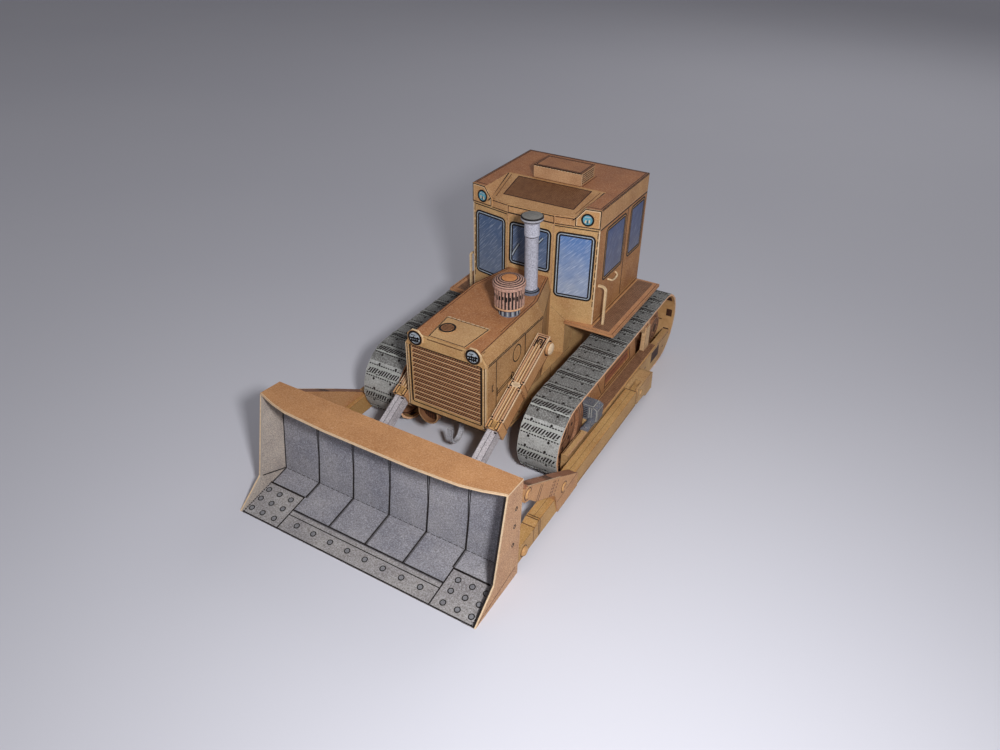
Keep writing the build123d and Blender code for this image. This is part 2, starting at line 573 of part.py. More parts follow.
# track frames: a beam inside the band and an outer ledge that runs its whole length
for side, sign in SIDES:
    with BuildPart() as track_frame:
        with BuildSketch(Plane.YZ.offset(sign * FRAME_INNER_X)):
            Polygon(
                (FRAME_FRONT_Y, FRAME_BOTTOM_Z),
                (FRAME_REAR_Y, FRAME_BOTTOM_Z),
                (FRAME_REAR_Y, FRAME_TOP_Z),
                (FRAME_FRONT_Y, FRAME_TOP_Z),
                align=None,
            )
        extrude(amount=sign * (LEDGE_INNER_X - FRAME_INNER_X))
        with BuildSketch(Plane.YZ.offset(sign * LEDGE_INNER_X)):
            Polygon(
                *[(LEDGE_FRONT_Y + reach, z) for reach, z in LEDGE_FRONT_FOOT],
                *[(LEDGE_REAR_Y - reach, z) for reach, z in LEDGE_REAR_FOOT],
                (LEDGE_REAR_Y, FRAME_TOP_Z),
                (LEDGE_FRONT_Y, FRAME_TOP_Z),
                align=None,
            )
        extrude(amount=sign * (LEDGE_OUTER_X - LEDGE_INNER_X))
    track_frame.part.label = f"track_frame_{side}"
    export_step(track_frame.part, f"parts/track_frame_{side}.step")

    with BuildPart() as step_plate:
        with BuildSketch(Plane.XY.offset(FRAME_TOP_Z)):
            with Locations((sign * (STEP_INNER_X + STEP_OUTER_X) / 2, STEP_FRONT_Y)):
                Rectangle(
                    STEP_OUTER_X - STEP_INNER_X, STEP_REAR_Y - STEP_FRONT_Y, align=(Align.CENTER, Align.MIN)
                )
        extrude(amount=CARD)
    step_plate.part.label = f"step_plate_{side}"
    export_step(step_plate.part, f"parts/step_plate_{side}.step")

# idlers: rolled discs with a broad rim round a sunk face, as (inner x, outer x, radius, mode)
WHEEL_SIDES = 40
IDLER_RINGS = ((39.0, 51.0, 19.2, Mode.ADD), (49.4, 51.0, 13.8, Mode.SUBTRACT))
for side, sign in SIDES:
    with BuildPart() as idler:
        for inner_x, outer_x, radius, mode in IDLER_RINGS:
            with BuildSketch(Plane.YZ.offset(sign * inner_x)):
                with Locations((IDLER_Y, IDLER_Z)):
                    RegularPolygon(radius, WHEEL_SIDES)
            extrude(amount=sign * (outer_x - inner_x), mode=mode)
    idler.part.label = f"idler_{side}"
    export_step(idler.part, f"parts/idler_{side}.step")

# idler yokes: a bevelled block behind the idler, and the half-round housing of its slide in front
YOKE_FRONT_Y, YOKE_REAR_Y, YOKE_TOP_Z, YOKE_OUTER_X, YOKE_INNER_X = 6.0, 13.2, 24.0, 57.0, 34.6
YOKE_BEVEL_X, YOKE_BEVEL_Z = 2.3, 1.2
SLIDE_X, SLIDE_R, SLIDE_FRONT_Y = 54.2, 2.2, -3.0
for side, sign in SIDES:
    with BuildPart() as yoke:
        with BuildSketch(Plane.XZ.offset(-YOKE_FRONT_Y)):
            Polygon(
                (sign * YOKE_INNER_X, FRAME_TOP_Z),
                (sign * YOKE_OUTER_X, FRAME_TOP_Z),
                (sign * YOKE_OUTER_X, YOKE_TOP_Z - YOKE_BEVEL_Z),
                (sign * (YOKE_OUTER_X - YOKE_BEVEL_X), YOKE_TOP_Z),
                (sign * YOKE_INNER_X, YOKE_TOP_Z),
                align=None,
            )
        extrude(amount=YOKE_FRONT_Y - YOKE_REAR_Y)
        with BuildSketch(Plane.XZ.offset(-SLIDE_FRONT_Y)):
            with Locations((sign * SLIDE_X, FRAME_TOP_Z)):
                Circle(SLIDE_R)
                Rectangle(2 * SLIDE_R, SLIDE_R, align=(Align.CENTER, Align.MAX), mode=Mode.SUBTRACT)
        extrude(amount=SLIDE_FRONT_Y - YOKE_FRONT_Y)
    yoke.part.label = f"idler_yoke_{side}"
    export_step(yoke.part, f"parts/idler_yoke_{side}.step")

# final drives: a rolled housing from the hull through the band, as (inner x, outer x, radius), and
# the toothed wheel
HOUSING_SIDES = 24
HOUSING_RINGS = ((HULL_HALF, 35.0, 12.0), (35.0, 49.6, 10.0), (49.6, 51.2, 7.0))
TEETH, TOOTH_OUT_R, TOOTH_ROOT_R, WHEEL_INNER_X, WHEEL_WIDE = 14, 20.2, 17.4, 39.8, 3.8
TOOTH_CORNERS = ((TOOTH_ROOT_R, 0.2), (TOOTH_OUT_R, 0.38), (TOOTH_OUT_R, 0.62), (TOOTH_ROOT_R, 0.8))
TOOTH_LINE = []
for tooth in range(TEETH):
    for radius, share in TOOTH_CORNERS:
        turn = radians((tooth + share) * 360 / TEETH)
        TOOTH_LINE.append((radius * cos(turn), radius * sin(turn)))
for side, sign in SIDES:
    with BuildPart() as final_drive:
        for inner_x, outer_x, radius in HOUSING_RINGS:
            with BuildSketch(Plane.YZ.offset(sign * inner_x)):
                with Locations((SPROCKET_Y, SPROCKET_Z)):
                    RegularPolygon(radius, HOUSING_SIDES)
            extrude(amount=sign * (outer_x - inner_x))
        with BuildSketch(Plane.YZ.offset(sign * WHEEL_INNER_X)):
            with Locations((SPROCKET_Y, SPROCKET_Z)):
                Polygon(*TOOTH_LINE, align=None)
        extrude(amount=sign * WHEEL_WIDE)
    final_drive.part.label = f"final_drive_{side}"
    export_step(final_drive.part, f"parts/final_drive_{side}.step")

# carrier rollers, each on its bracket
ROLLER_Y, ROLLER_Z, ROLLER_R, ROLLER_X, ROLLER_WIDE = 84.5, 31.0, 4.6, 44.0, 7.6
STAY_X, STAY_THICK, STAY_FOOT_HALF, STAY_TOP_HALF = 50.0, 2.6, 3.5, 2.7
for side, sign in SIDES:
    with BuildPart() as carrier_roller:
        with BuildSketch(Plane.YZ.offset(sign * ROLLER_X)):
            with Locations((ROLLER_Y, ROLLER_Z)):
                Circle(ROLLER_R)
        extrude(amount=sign * ROLLER_WIDE)
        with BuildSketch(Plane.YZ.offset(sign * STAY_X)):
            Polygon(
                (ROLLER_Y - STAY_FOOT_HALF, FRAME_TOP_Z + CARD),
                (ROLLER_Y + STAY_FOOT_HALF, FRAME_TOP_Z + CARD),
                (ROLLER_Y + STAY_TOP_HALF, ROLLER_Z),
                (ROLLER_Y - STAY_TOP_HALF, ROLLER_Z),
                align=None,
            )
        extrude(amount=sign * STAY_THICK)
    carrier_roller.part.label = f"carrier_roller_{side}"
    export_step(carrier_roller.part, f"parts/carrier_roller_{side}.step")

# track spring housings: a channel with a sunk panel on its outer face
SPRING_FRONT_Y, SPRING_REAR_Y, SPRING_TOP_Z = YOKE_REAR_Y, 72.0, 31.0
SPRING_INNER_X, SPRING_OUTER_X, SPRING_SUNK = 42.0, 49.6, 0.7
SPRING_LINE = (
    (SPRING_FRONT_Y, FRAME_TOP_Z),
    (76.0, FRAME_TOP_Z),
    (SPRING_REAR_Y, 28.0),
    (69.0, SPRING_TOP_Z),
    (19.2, SPRING_TOP_Z),
    (SPRING_FRONT_Y, 26.0),
)
SPRING_PANEL = ((32.0, 19.0), (66.0, 19.0), (63.5, 26.5), (32.0, 26.5))
for side, sign in SIDES:
    with BuildPart() as spring_housing:
        with BuildSketch(Plane.YZ.offset(sign * SPRING_INNER_X)):
            Polygon(*SPRING_LINE, align=None)
        extrude(amount=sign * (SPRING_OUTER_X - SPRING_INNER_X))
        with BuildSketch(Plane.YZ.offset(sign * SPRING_OUTER_X)):
            Polygon(*SPRING_PANEL, align=None)
        extrude(amount=-sign * SPRING_SUNK, mode=Mode.SUBTRACT)
    spring_housing.part.label = f"spring_housing_{side}"
    export_step(spring_housing.part, f"parts/spring_housing_{side}.step")

# cross beam under the belly, its ends tapered up to the track frames
BEAM_Y, BEAM_LONG, BEAM_Z, BEAM_FLAT_HALF, BEAM_END_Z = 30.0, 9.0, 8.0, 36.0, 11.0
with BuildPart() as cross_beam:
    with BuildSketch(Plane.XZ.offset(-BEAM_Y + BEAM_LONG / 2)):
        Polygon(
            (-BEAM_FLAT_HALF, BEAM_Z),
            (BEAM_FLAT_HALF, BEAM_Z),
            (FRAME_INNER_X, BEAM_END_Z),
            (FRAME_INNER_X, BELLY_Z),
            (-FRAME_INNER_X, BELLY_Z),
            (-FRAME_INNER_X, BEAM_END_Z),
            align=None,
        )
    extrude(amount=-BEAM_LONG)
cross_beam.part.label = "cross_beam"
export_step(cross_beam.part, "parts/cross_beam.step")

# ---- push arms' brackets on the track frames ---------------------------------
TONGUE_INNER_X, TONGUE_OUTER_X, TONGUE_R = 59.4, 62.2, 3.2
SLOT_REAR_Y, BOSS_PROUD = 53.4, 0.9
BRACKET_LINE = (
    (BRACKET_FRONT_Y, ARM_BOTTOM_Z),
    (55.7, 4.8),
    (58.4, 2.6),
    (BRACKET_REAR_Y, 2.6),
    (66.6, 13.8),
    (63.6, ARM_TOP_Z),
    (45.0, ARM_TOP_Z),
)
for side, sign in SIDES:
    with BuildPart() as arm_bracket:
        with BuildSketch(Plane.YZ.offset(sign * LEDGE_OUTER_X)):
            Polygon(*BRACKET_LINE, align=None)
        extrude(amount=sign * (ARM_OUTER_X - LEDGE_OUTER_X))
        with BuildSketch(Plane.YZ.offset(sign * (TONGUE_INNER_X - GAP))):
            with Locations((SLOT_REAR_Y, 0)):
                Rectangle(2 * (SLOT_REAR_Y - BRACKET_FRONT_Y), 2 * ARM_TOP_Z, align=(Align.MAX, Align.CENTER))
        extrude(amount=sign * (TONGUE_OUTER_X - TONGUE_INNER_X + 2 * GAP), mode=Mode.SUBTRACT)
        with BuildSketch(Plane.YZ.offset(sign * LEDGE_OUTER_X)):
            with Locations((PIVOT_Y, PIVOT_Z)):
                Circle(PIN_R)
        extrude(amount=sign * (ARM_OUTER_X - LEDGE_OUTER_X))
        with BuildSketch(Plane.YZ.offset(sign * ARM_OUTER_X)):
            with Locations((PIVOT_Y, PIVOT_Z)):
                Circle(BOSS_R)
        extrude(amount=sign * BOSS_PROUD)
    arm_bracket.part.label = f"arm_bracket_{side}"
    export_step(arm_bracket.part, f"parts/arm_bracket_{side}.step")

# ---- blade -------------------------------------------------------------------
with BuildPart() as moldboard:
    with BuildSketch(Plane.YZ.offset(-FACE_HALF)):
        Polygon(TIP, FOLD, FACE_TOP, BACK_TOP, BACK_FOOT, align=None)
    extrude(amount=2 * FACE_HALF)
moldboard.part.label = "moldboard"
export_step(moldboard.part, "parts/moldboard.step")

# cutting edge between two deeper end bits, lying on the blade's lower face
LOWER_FACE = Plane(origin=(0, *TIP), x_dir=(1, 0, 0), z_dir=(0, TIP[1] - FOLD[1], FOLD[0] - TIP[0]))
with BuildPart() as cutting_edge:
    with BuildSketch(LOWER_FACE):
        Rectangle(2 * EDGE_HALF, EDGE_DEEP, align=(Align.CENTER, Align.MIN))
        for sign in (1, -1):
            with Locations((sign * (EDGE_HALF + FACE_HALF) / 2, 0)):
                Rectangle(FACE_HALF - EDGE_HALF, BIT_DEEP, align=(Align.CENTER, Align.MIN))
    extrude(amount=EDGE_THICK)
cutting_edge.part.label = "cutting_edge"
export_step(cutting_edge.part, "parts/cutting_edge.step")

for side, sign in SIDES:
    with BuildPart() as end_plate:
        with BuildSketch(Plane.YZ.offset(sign * FACE_HALF)):
            Polygon(TIP, END_KINK, END_TOP, BACK_TOP, BACK_FOOT, align=None)
        extrude(amount=sign * END_PLATE)
    end_plate.part.label = f"end_plate_{side}"
    export_step(end_plate.part, f"parts/end_plate_{side}.step")

# visor along the blade's top edge, deepest in the middle
VISOR_FACE = Plane(
    origin=(0, *BACK_TOP), x_dir=(1, 0, 0), z_dir=(0, END_TOP[1] - BACK_TOP[1], BACK_TOP[0] - END_TOP[0])
)
VISOR_FRONT = ((BLADE_HALF, -12.3), (54.0, -15.6), (45.0, -17.6), (22.0, -18.9))
with BuildPart() as visor:
    with BuildSketch(VISOR_FACE):
        Polygon(
            (-BLADE_HALF, 0),
            (BLADE_HALF, 0),
            *VISOR_FRONT,
            *[(-x, y) for x, y in reversed(VISOR_FRONT)],
            align=None,
        )
    extrude(amount=CARD)
visor.part.label = "visor"
export_step(visor.part, "parts/visor.step")

# rear of the blade: two stiffening beams, as (low, high), and the lugs that take the rods' eyes
BEAMS = ((16.5, 24.5), (38.0, 44.0))
BEAM_HALF, BEAM_DEEP, BEAM_BEVEL = 56.0, 3.0, 1.2
LUG_INNER, LUG_THICK, LUG_R, LUG_SIDES, LUG_LOW_Z, LUG_HIGH_Z = 2.4, 1.1, 3.2, 16, 6.0, 18.5
with BuildPart() as blade_beams:
    for low_z, high_z in BEAMS:
        with BuildSketch(Plane.YZ.offset(-BEAM_HALF)):
            Polygon(
                (back_y(low_z), low_z),
                (back_y(low_z) + BEAM_DEEP, low_z + BEAM_BEVEL),
                (back_y(high_z) + BEAM_DEEP, high_z - BEAM_BEVEL),
                (back_y(high_z), high_z),
                align=None,
            )
        extrude(amount=2 * BEAM_HALF)
    for sign in (1, -1):
        for offset_x in (-LUG_INNER - LUG_THICK, LUG_INNER):
            with BuildSketch(Plane.YZ.offset(sign * CYLINDER_X + offset_x)):
                Polygon(
                    (back_y(LUG_LOW_Z), LUG_LOW_Z),
                    (EYE_Y, EYE_Z - LUG_R),
                    (EYE_Y, EYE_Z + LUG_R),
                    (back_y(LUG_HIGH_Z), LUG_HIGH_Z),
                    align=None,
                )
                with Locations((EYE_Y, EYE_Z)):
                    RegularPolygon(LUG_R, LUG_SIDES)
            extrude(amount=LUG_THICK)
        with BuildSketch(Plane.YZ.offset(sign * CYLINDER_X)):
            with Locations((EYE_Y, EYE_Z)):
                Circle(EYE_PIN_R)
        extrude(amount=LUG_INNER + LUG_THICK, both=True)
blade_beams.part.label = "blade_beams"
export_step(blade_beams.part, "parts/blade_beams.step")

# push arms: a beam with a lowered front, its tongue held in the bracket
ARM_STEP_Y, ARM_STEP_LONG, ARM_CLEAR, TONGUE_HIGH = -70.0, 2.2, 0.1, 6.4
END_BOSS = (-82.6, 8.4)
for side, sign in SIDES:
    with BuildPart() as push_arm:
        with BuildSketch(Plane.YZ.offset(sign * ARM_INNER_X)):
            Polygon(
                (back_y(ARM_BOTTOM_Z) + ARM_CLEAR, ARM_BOTTOM_Z),
                (ARM_SEAM_Y, ARM_BOTTOM_Z),
                (ARM_SEAM_Y, ARM_TOP_Z),
                (ARM_STEP_Y, ARM_TOP_Z),
                (ARM_STEP_Y - ARM_STEP_LONG, ARM_FRONT_TOP_Z),
                (back_y(ARM_FRONT_TOP_Z) + ARM_CLEAR, ARM_FRONT_TOP_Z),
                align=None,
            )
        extrude(amount=sign * (ARM_OUTER_X - ARM_INNER_X))
        with BuildSketch(Plane.YZ.offset(sign * TONGUE_INNER_X)):
            with Locations((PIVOT_Y, PIVOT_Z)):
                Rectangle(PIVOT_Y - ARM_SEAM_Y + CARD, TONGUE_HIGH, align=(Align.MAX, Align.CENTER))
                Circle(TONGUE_R)
                Circle(PIN_R + GAP / 2, mode=Mode.SUBTRACT)
        extrude(amount=sign * (TONGUE_OUTER_X - TONGUE_INNER_X))
        with BuildSketch(Plane.YZ.offset(sign * ARM_OUTER_X)):
            with Locations(END_BOSS):
                Circle(BOSS_R)
        extrude(amount=sign * BOSS_PROUD)
    push_arm.part.label = f"push_arm_{side}"
    export_step(push_arm.part, f"parts/push_arm_{side}.step")

# braces from the blade's upper corners down to gusset plates on the push arms
BRACE_INNER_X, GUSSET = 60.1, 0.6
BRACE_PINS = ((-82.0, 41.0), (-46.6, 17.0))
BRACE_TOP = (
    (-55.7, 19.0), (-74.7, 30.8), (-80.4, 36.4), (-84.6, 38.0), (-84.4, 45.3), (-82.3, 45.3), (-50.6, 26.1),
)
BRACE_FOOT = ((-32.7, ARM_TOP_Z), (-54.4, ARM_TOP_Z))
GUSSET_FOOT = ((-31.5, 14.1), (-31.3, 5.8), (-51.6, ARM_BOTTOM_Z), (-53.8, 12.3))
for side, sign in SIDES:
    with BuildPart() as brace:
        with BuildSketch(Plane.YZ.offset(sign * BRACE_INNER_X)):
            Polygon(*BRACE_TOP, *BRACE_FOOT, align=None)
        extrude(amount=sign * (ARM_OUTER_X - BRACE_INNER_X))
        with BuildSketch(Plane.YZ.offset(sign * ARM_OUTER_X)):
            Polygon(*BRACE_TOP, *GUSSET_FOOT, align=None)
        extrude(amount=sign * GUSSET)
        with BuildSketch(Plane.YZ.offset(sign * (ARM_OUTER_X + GUSSET))):
            with Locations(*BRACE_PINS):
                Circle(BOSS_R)
        extrude(amount=sign * BOSS_PROUD)
    brace.part.label = f"brace_{side}"
    export_step(brace.part, f"parts/brace_{side}.step")

# ---- lift cylinders ----------------------------------------------------------
# each is drawn in its own plane, from the trunnion up along its axis and across it;
# the casing's boxes are (low end, high end, how far they stand proud)
CLAMP_PROUD, FOOT_CLAMP_TOP, MIDDLE_CLAMP = 0.3, -46.8, (-27.6, -25.2)
CASING_BOXES = (
    (-CASING_BELOW, CASING_ABOVE, 0.0),
    (-CASING_BELOW, FOOT_CLAMP_TOP, CLAMP_PROUD),
    (*MIDDLE_CLAMP, CLAMP_PROUD),
)
BOSS_CAP_R, BOSS_CAP_PROUD, TRUNNION_LONG = 3.3, 1.4, 4.0
EYE_NECK, EYE_NECK_HALF, EYE_HALF, EYE_CLEAR = 4.4, 2.2, 1.9, 0.8
for side, sign in SIDES:
    middle = Plane(
        origin=(sign * CYLINDER_X, TRUNNION_Y, TRUNNION_Z),
        x_dir=(0, cos(radians(CYLINDER_ANGLE)), sin(radians(CYLINDER_ANGLE))),
        z_dir=(1, 0, 0),
    )
    with BuildPart() as casing:
        for low, high, proud in CASING_BOXES:
            with BuildSketch(middle):
                with Locations((low, 0)):
                    Rectangle(high - low, 2 * (CASING_HALF_DEEP + proud), align=(Align.MIN, Align.CENTER))
            extrude(amount=CASING_HALF + proud, both=True)
        with BuildSketch(middle):
            with Locations((-CASING_BELOW, 0)):
                Rectangle(CASING_BELOW - BORE_TOP, 2 * BORE_HALF_DEEP, align=(Align.MIN, Align.CENTER))
        extrude(amount=BORE_HALF, both=True, mode=Mode.SUBTRACT)
        with BuildSketch(middle.offset(sign * CASING_HALF)):
            Circle(BOSS_CAP_R)
        extrude(amount=sign * BOSS_CAP_PROUD)
        with BuildSketch(middle.offset(-sign * CASING_HALF)):
            Circle(TRUNNION_R + GAP)
        extrude(amount=sign * TRUNNION_LONG, mode=Mode.SUBTRACT)
    casing.part.label = f"cylinder_casing_{side}"
    export_step(casing.part, f"parts/cylinder_casing_{side}.step")

    with BuildPart() as rod:
        with BuildSketch(middle):
            with Locations((-STROKE_LINE + EYE_NECK, 0)):
                Rectangle(
                    STROKE_LINE - EYE_NECK - ROD_INSIDE, 2 * ROD_HALF_DEEP, align=(Align.MIN, Align.CENTER)
                )
        extrude(amount=ROD_HALF, both=True)
        with BuildSketch(middle):
            with Locations((-STROKE_LINE, 0)):
                Rectangle(EYE_NECK, 2 * EYE_NECK_HALF, align=(Align.MIN, Align.CENTER))
                Circle(EYE_R)
                Circle(EYE_PIN_R + EYE_CLEAR, mode=Mode.SUBTRACT)
        extrude(amount=EYE_HALF, both=True)
    rod.part.label = f"rod_{side}"
    export_step(rod.part, f"parts/rod_{side}.step")

# pins on the hood's sides, on which the casings swing
with BuildPart() as trunnions:
    for sign in (1, -1):
        with BuildSketch(Plane.YZ.offset(sign * HOOD_HALF)):
            with Locations((TRUNNION_Y, TRUNNION_Z)):
                Circle(TRUNNION_R)
        extrude(amount=sign * TRUNNION_LONG)
trunnions.part.label = "trunnions"
export_step(trunnions.part, "parts/trunnions.step")
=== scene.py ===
"""Dresses the card model of a crawler bulldozer: printed card, ink lines and small card trim.

Sizes are in millimetres in the model's own frame: +Z up, the blade at -Y, +X the machine's left.
"""

import json
import logging
import math
from abc import ABC, abstractmethod
from collections.abc import Callable, Iterator, Sequence
from dataclasses import dataclass
from enum import Enum
from typing import Any, Protocol

import bpy
from mathutils import Matrix, Vector

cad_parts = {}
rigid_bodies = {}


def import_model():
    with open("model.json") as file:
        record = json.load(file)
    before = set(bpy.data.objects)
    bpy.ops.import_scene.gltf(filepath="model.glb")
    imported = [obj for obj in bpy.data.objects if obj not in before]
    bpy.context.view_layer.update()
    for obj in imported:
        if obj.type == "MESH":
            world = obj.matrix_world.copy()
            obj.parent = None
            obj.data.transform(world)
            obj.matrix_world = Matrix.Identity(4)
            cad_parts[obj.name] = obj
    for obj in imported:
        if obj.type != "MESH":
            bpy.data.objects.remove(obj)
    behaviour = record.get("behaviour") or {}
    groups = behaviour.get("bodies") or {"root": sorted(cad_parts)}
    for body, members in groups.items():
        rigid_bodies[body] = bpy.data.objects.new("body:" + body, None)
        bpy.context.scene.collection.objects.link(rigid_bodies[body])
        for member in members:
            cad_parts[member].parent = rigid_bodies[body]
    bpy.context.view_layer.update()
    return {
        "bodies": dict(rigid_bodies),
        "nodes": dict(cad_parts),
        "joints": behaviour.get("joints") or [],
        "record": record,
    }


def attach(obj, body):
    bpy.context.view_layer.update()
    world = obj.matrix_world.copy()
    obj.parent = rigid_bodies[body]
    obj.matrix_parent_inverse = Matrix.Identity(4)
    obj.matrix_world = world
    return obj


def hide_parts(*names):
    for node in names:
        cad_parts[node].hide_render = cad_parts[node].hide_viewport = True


MM = 0.001
LOG = logging.getLogger("bulldozer")
ACROSS, REARWARD, UPWARD = Vector((1, 0, 0)), Vector((0, 1, 0)), Vector((0, 0, 1))

Colour = tuple[float, float, float, float]
Flat = tuple[float, float]
Socket = Any
Rules = tuple[tuple[Any, ...], ...]


def steps(first: float, pitch: float, count: int) -> list[float]:
    """Gives evenly spaced measures."""
    return [first + pitch * index for index in range(count)]


def shade(red: int, green: int, blue: int) -> Colour:
    """Turns a screen colour of 0 to 255 into the linear colour that shaders take.

    Args:
        red: The red part.
        green: The green part.
        blue: The blue part.

    Returns:
        The linear colour, with full alpha.
    """
    parts = [value / 255 for value in (red, green, blue)]
    linear = [part / 12.92 if part <= 0.04045 else ((part + 0.055) / 1.055) ** 2.4 for part in parts]
    return (linear[0], linear[1], linear[2], 1.0)


class Body(Enum):
    """The moving bodies of the model, with the mark that ends a pair's name."""

    TRACTOR = "tractor"
    BLADE = "blade_frame"
    CYLINDER = "cylinder_"
    RAM = "ram_"


class Side(Enum):
    """The machine's two sides, as the sign of X."""

    LEFT = 1
    RIGHT = -1

    @property
    def word(self) -> str:
        """The side's name, as it ends a node's name."""
        return self.name.lower()


class Slot(Enum):
    """The record's material slots, one of which each added piece carries."""

    ORANGE = "orange_card"
    TAN = "tan_card"
    GREY = "grey_card"
    TRACK = "track_card"
    RUST = "rust_card"
    CREAM = "cream_card"
    STEEL = "steel_card"
    LAMP = "lamp_card"


# ---- finishes ----------------------------------------------------------------


class Tree:
    """Adds shader nodes to one material in few words."""

    def __init__(self, name: str) -> None:
        """Starts a material with its principled shader.

        Args:
            name: The material's name.
        """
        self.material = bpy.data.materials.new(name)
        self.material.use_nodes = True
        self.nodes = self.material.node_tree.nodes
        self.links = self.material.node_tree.links
        self.shader = self.nodes["Principled BSDF"]
        self.place = self.add("ShaderNodeTexCoord").outputs

    def add(self, kind: str, **settings: Any) -> Any:
        """Adds a node and sets its plain properties.

        Args:
            kind: The node's type.
            **settings: Properties of the node.

        Returns:
            The new node.
        """
        node = self.nodes.new(kind)
        for key, value in settings.items():
            setattr(node, key, value)
        return node

    def feed(self, socket: Socket, value: Any) -> None:
        """Links or sets an input.

        Args:
            socket: The input.
            value: An output to link, or a plain value.
        """
        if isinstance(value, bpy.types.NodeSocket):
            self.links.new(value, socket)
        else:
            socket.default_value = value

    def noise(self, size: float, detail: float = 2.0, rough: float = 0.5, place: Socket = None) -> Socket:
        """Adds a cloud noise in the object's own coordinates.

        Args:
            size: The size of its patches.
            detail: How many finer layers it has.
            rough: How strong the finer layers are.
            place: Other coordinates to read it at.

        Returns:
            The noise's value output.
        """
        node = self.add("ShaderNodeTexNoise")
        self.feed(node.inputs["Vector"], self.place["Object"] if place is None else place)
        node.inputs["Scale"].default_value = 1 / (size * MM)
        node.inputs["Detail"].default_value = detail
        node.inputs["Roughness"].default_value = rough
        return node.outputs["Fac"]

    def stretched(self, stroke: Vector, across: Vector, long: float, short: float) -> Socket:
        """Adds a noise drawn out into strokes.

        Args:
            stroke: The strokes' direction.
            across: The direction across them.
            long: The strokes' length.
            short: Their width.

        Returns:
            The noise's value output.
        """
        parts = []
        for way, size in ((stroke, long), (across, short)):
            dot = self.add("ShaderNodeVectorMath", operation="DOT_PRODUCT")
            self.feed(dot.inputs[0], self.place["Object"])
            dot.inputs[1].default_value = tuple(way.normalized() / (size * MM))
            parts.append(dot.outputs["Value"])
        joined = self.add("ShaderNodeCombineXYZ")
        self.feed(joined.inputs[0], parts[0])
        self.feed(joined.inputs[1], parts[1])
        node = self.add("ShaderNodeTexNoise")
        self.feed(node.inputs["Vector"], joined.outputs[0])
        node.inputs["Scale"].default_value = 1.0
        return node.outputs["Fac"]

    def math(self, operation: str, first: Any, second: Any = 0.0, clamp: bool = False) -> Socket:
        """Adds a sum of two numbers of the named kind.

        Args:
            operation: Blender's name for it.
            first: The first number or output.
            second: The second number or output.
            clamp: Whether the result stays between 0 and 1.

        Returns:
            The result's output.
        """
        node = self.add("ShaderNodeMath", operation=operation, use_clamp=clamp)
        self.feed(node.inputs[0], first)
        self.feed(node.inputs[1], second)
        return node.outputs[0]

    def spread(self, value: Socket, low: float, high: float) -> Socket:
        """Stretches a value so that low becomes 0 and high becomes 1, and clamps it.

        Args:
            value: The output to stretch.
            low: The value that becomes 0.
            high: The value that becomes 1.

        Returns:
            The stretched value's output.
        """
        node = self.add("ShaderNodeMapRange")
        self.feed(node.inputs["Value"], value)
        node.inputs["From Min"].default_value = low
        node.inputs["From Max"].default_value = high
        return node.outputs["Result"]

    def mix(self, share: Any, first: Any, second: Any, blend: str = "MIX") -> Socket:
        """Mixes two colours.

        Args:
            share: How much of the second, from 0 to 1.
            first: The first colour or output.
            second: The second colour or output.
            blend: Blender's name for the way of mixing.

        Returns:
            The mixed colour's output.
        """
        node = self.add("ShaderNodeMix", data_type="RGBA", blend_type=blend)
        self.feed(node.inputs["Factor"], share)
        colours = [socket for socket in node.inputs if socket.type == "RGBA"]
        self.feed(colours[0], first)
        self.feed(colours[1], second)
        return [socket for socket in node.outputs if socket.type == "RGBA"][0]

    def coat(
        self, colour: Socket, rough: tuple[Socket, float, float], shine: float, height: Socket, deep: float
    ) -> bpy.types.Material:
        """Gives the shader its colour, roughness, shine and relief.

        Args:
            colour: The colour's output.
            rough: The output that the roughness follows, how much, and its least.
            shine: The level of the shader's reflection.
            height: The relief's output, 0 to 1.
            deep: The relief's depth.

        Returns:
            The finished material.
        """
        follow, share, least = rough
        inputs = self.shader.inputs
        self.feed(inputs["Base Color"], colour)
        self.feed(inputs["Roughness"], self.math("ADD", self.math("MULTIPLY", follow, share), least))
        inputs["Specular IOR Level"].default_value = shine
        node = self.add("ShaderNodeBump")
        node.inputs["Strength"].default_value = 1.0
        node.inputs["Distance"].default_value = deep * MM
        self.feed(node.inputs["Height"], height)
        self.feed(inputs["Normal"], node.outputs["Normal"])
        return self.material


@dataclass(frozen=True)
class Print:
    """A second colour on a card's faces that look one way, as close as the given cosine: a second print on some
    cards, painted shade on the up-facing faces of others.
    """

    facing: tuple[float, float, float]
    light: Colour
    dark: Colour
    close: float


@dataclass(frozen=True)
class Cut:
    """The bare cut edges of a card; on the sump nose it paints shade on the curved faces instead.

    Attributes:
        facing: The way the sheet faces, or the way its edges face.
        bare: Their colour.
        across: Whether the edges are the faces that turn away from that way.
    """

    facing: tuple[float, float, float]
    bare: Colour
    across: bool = True


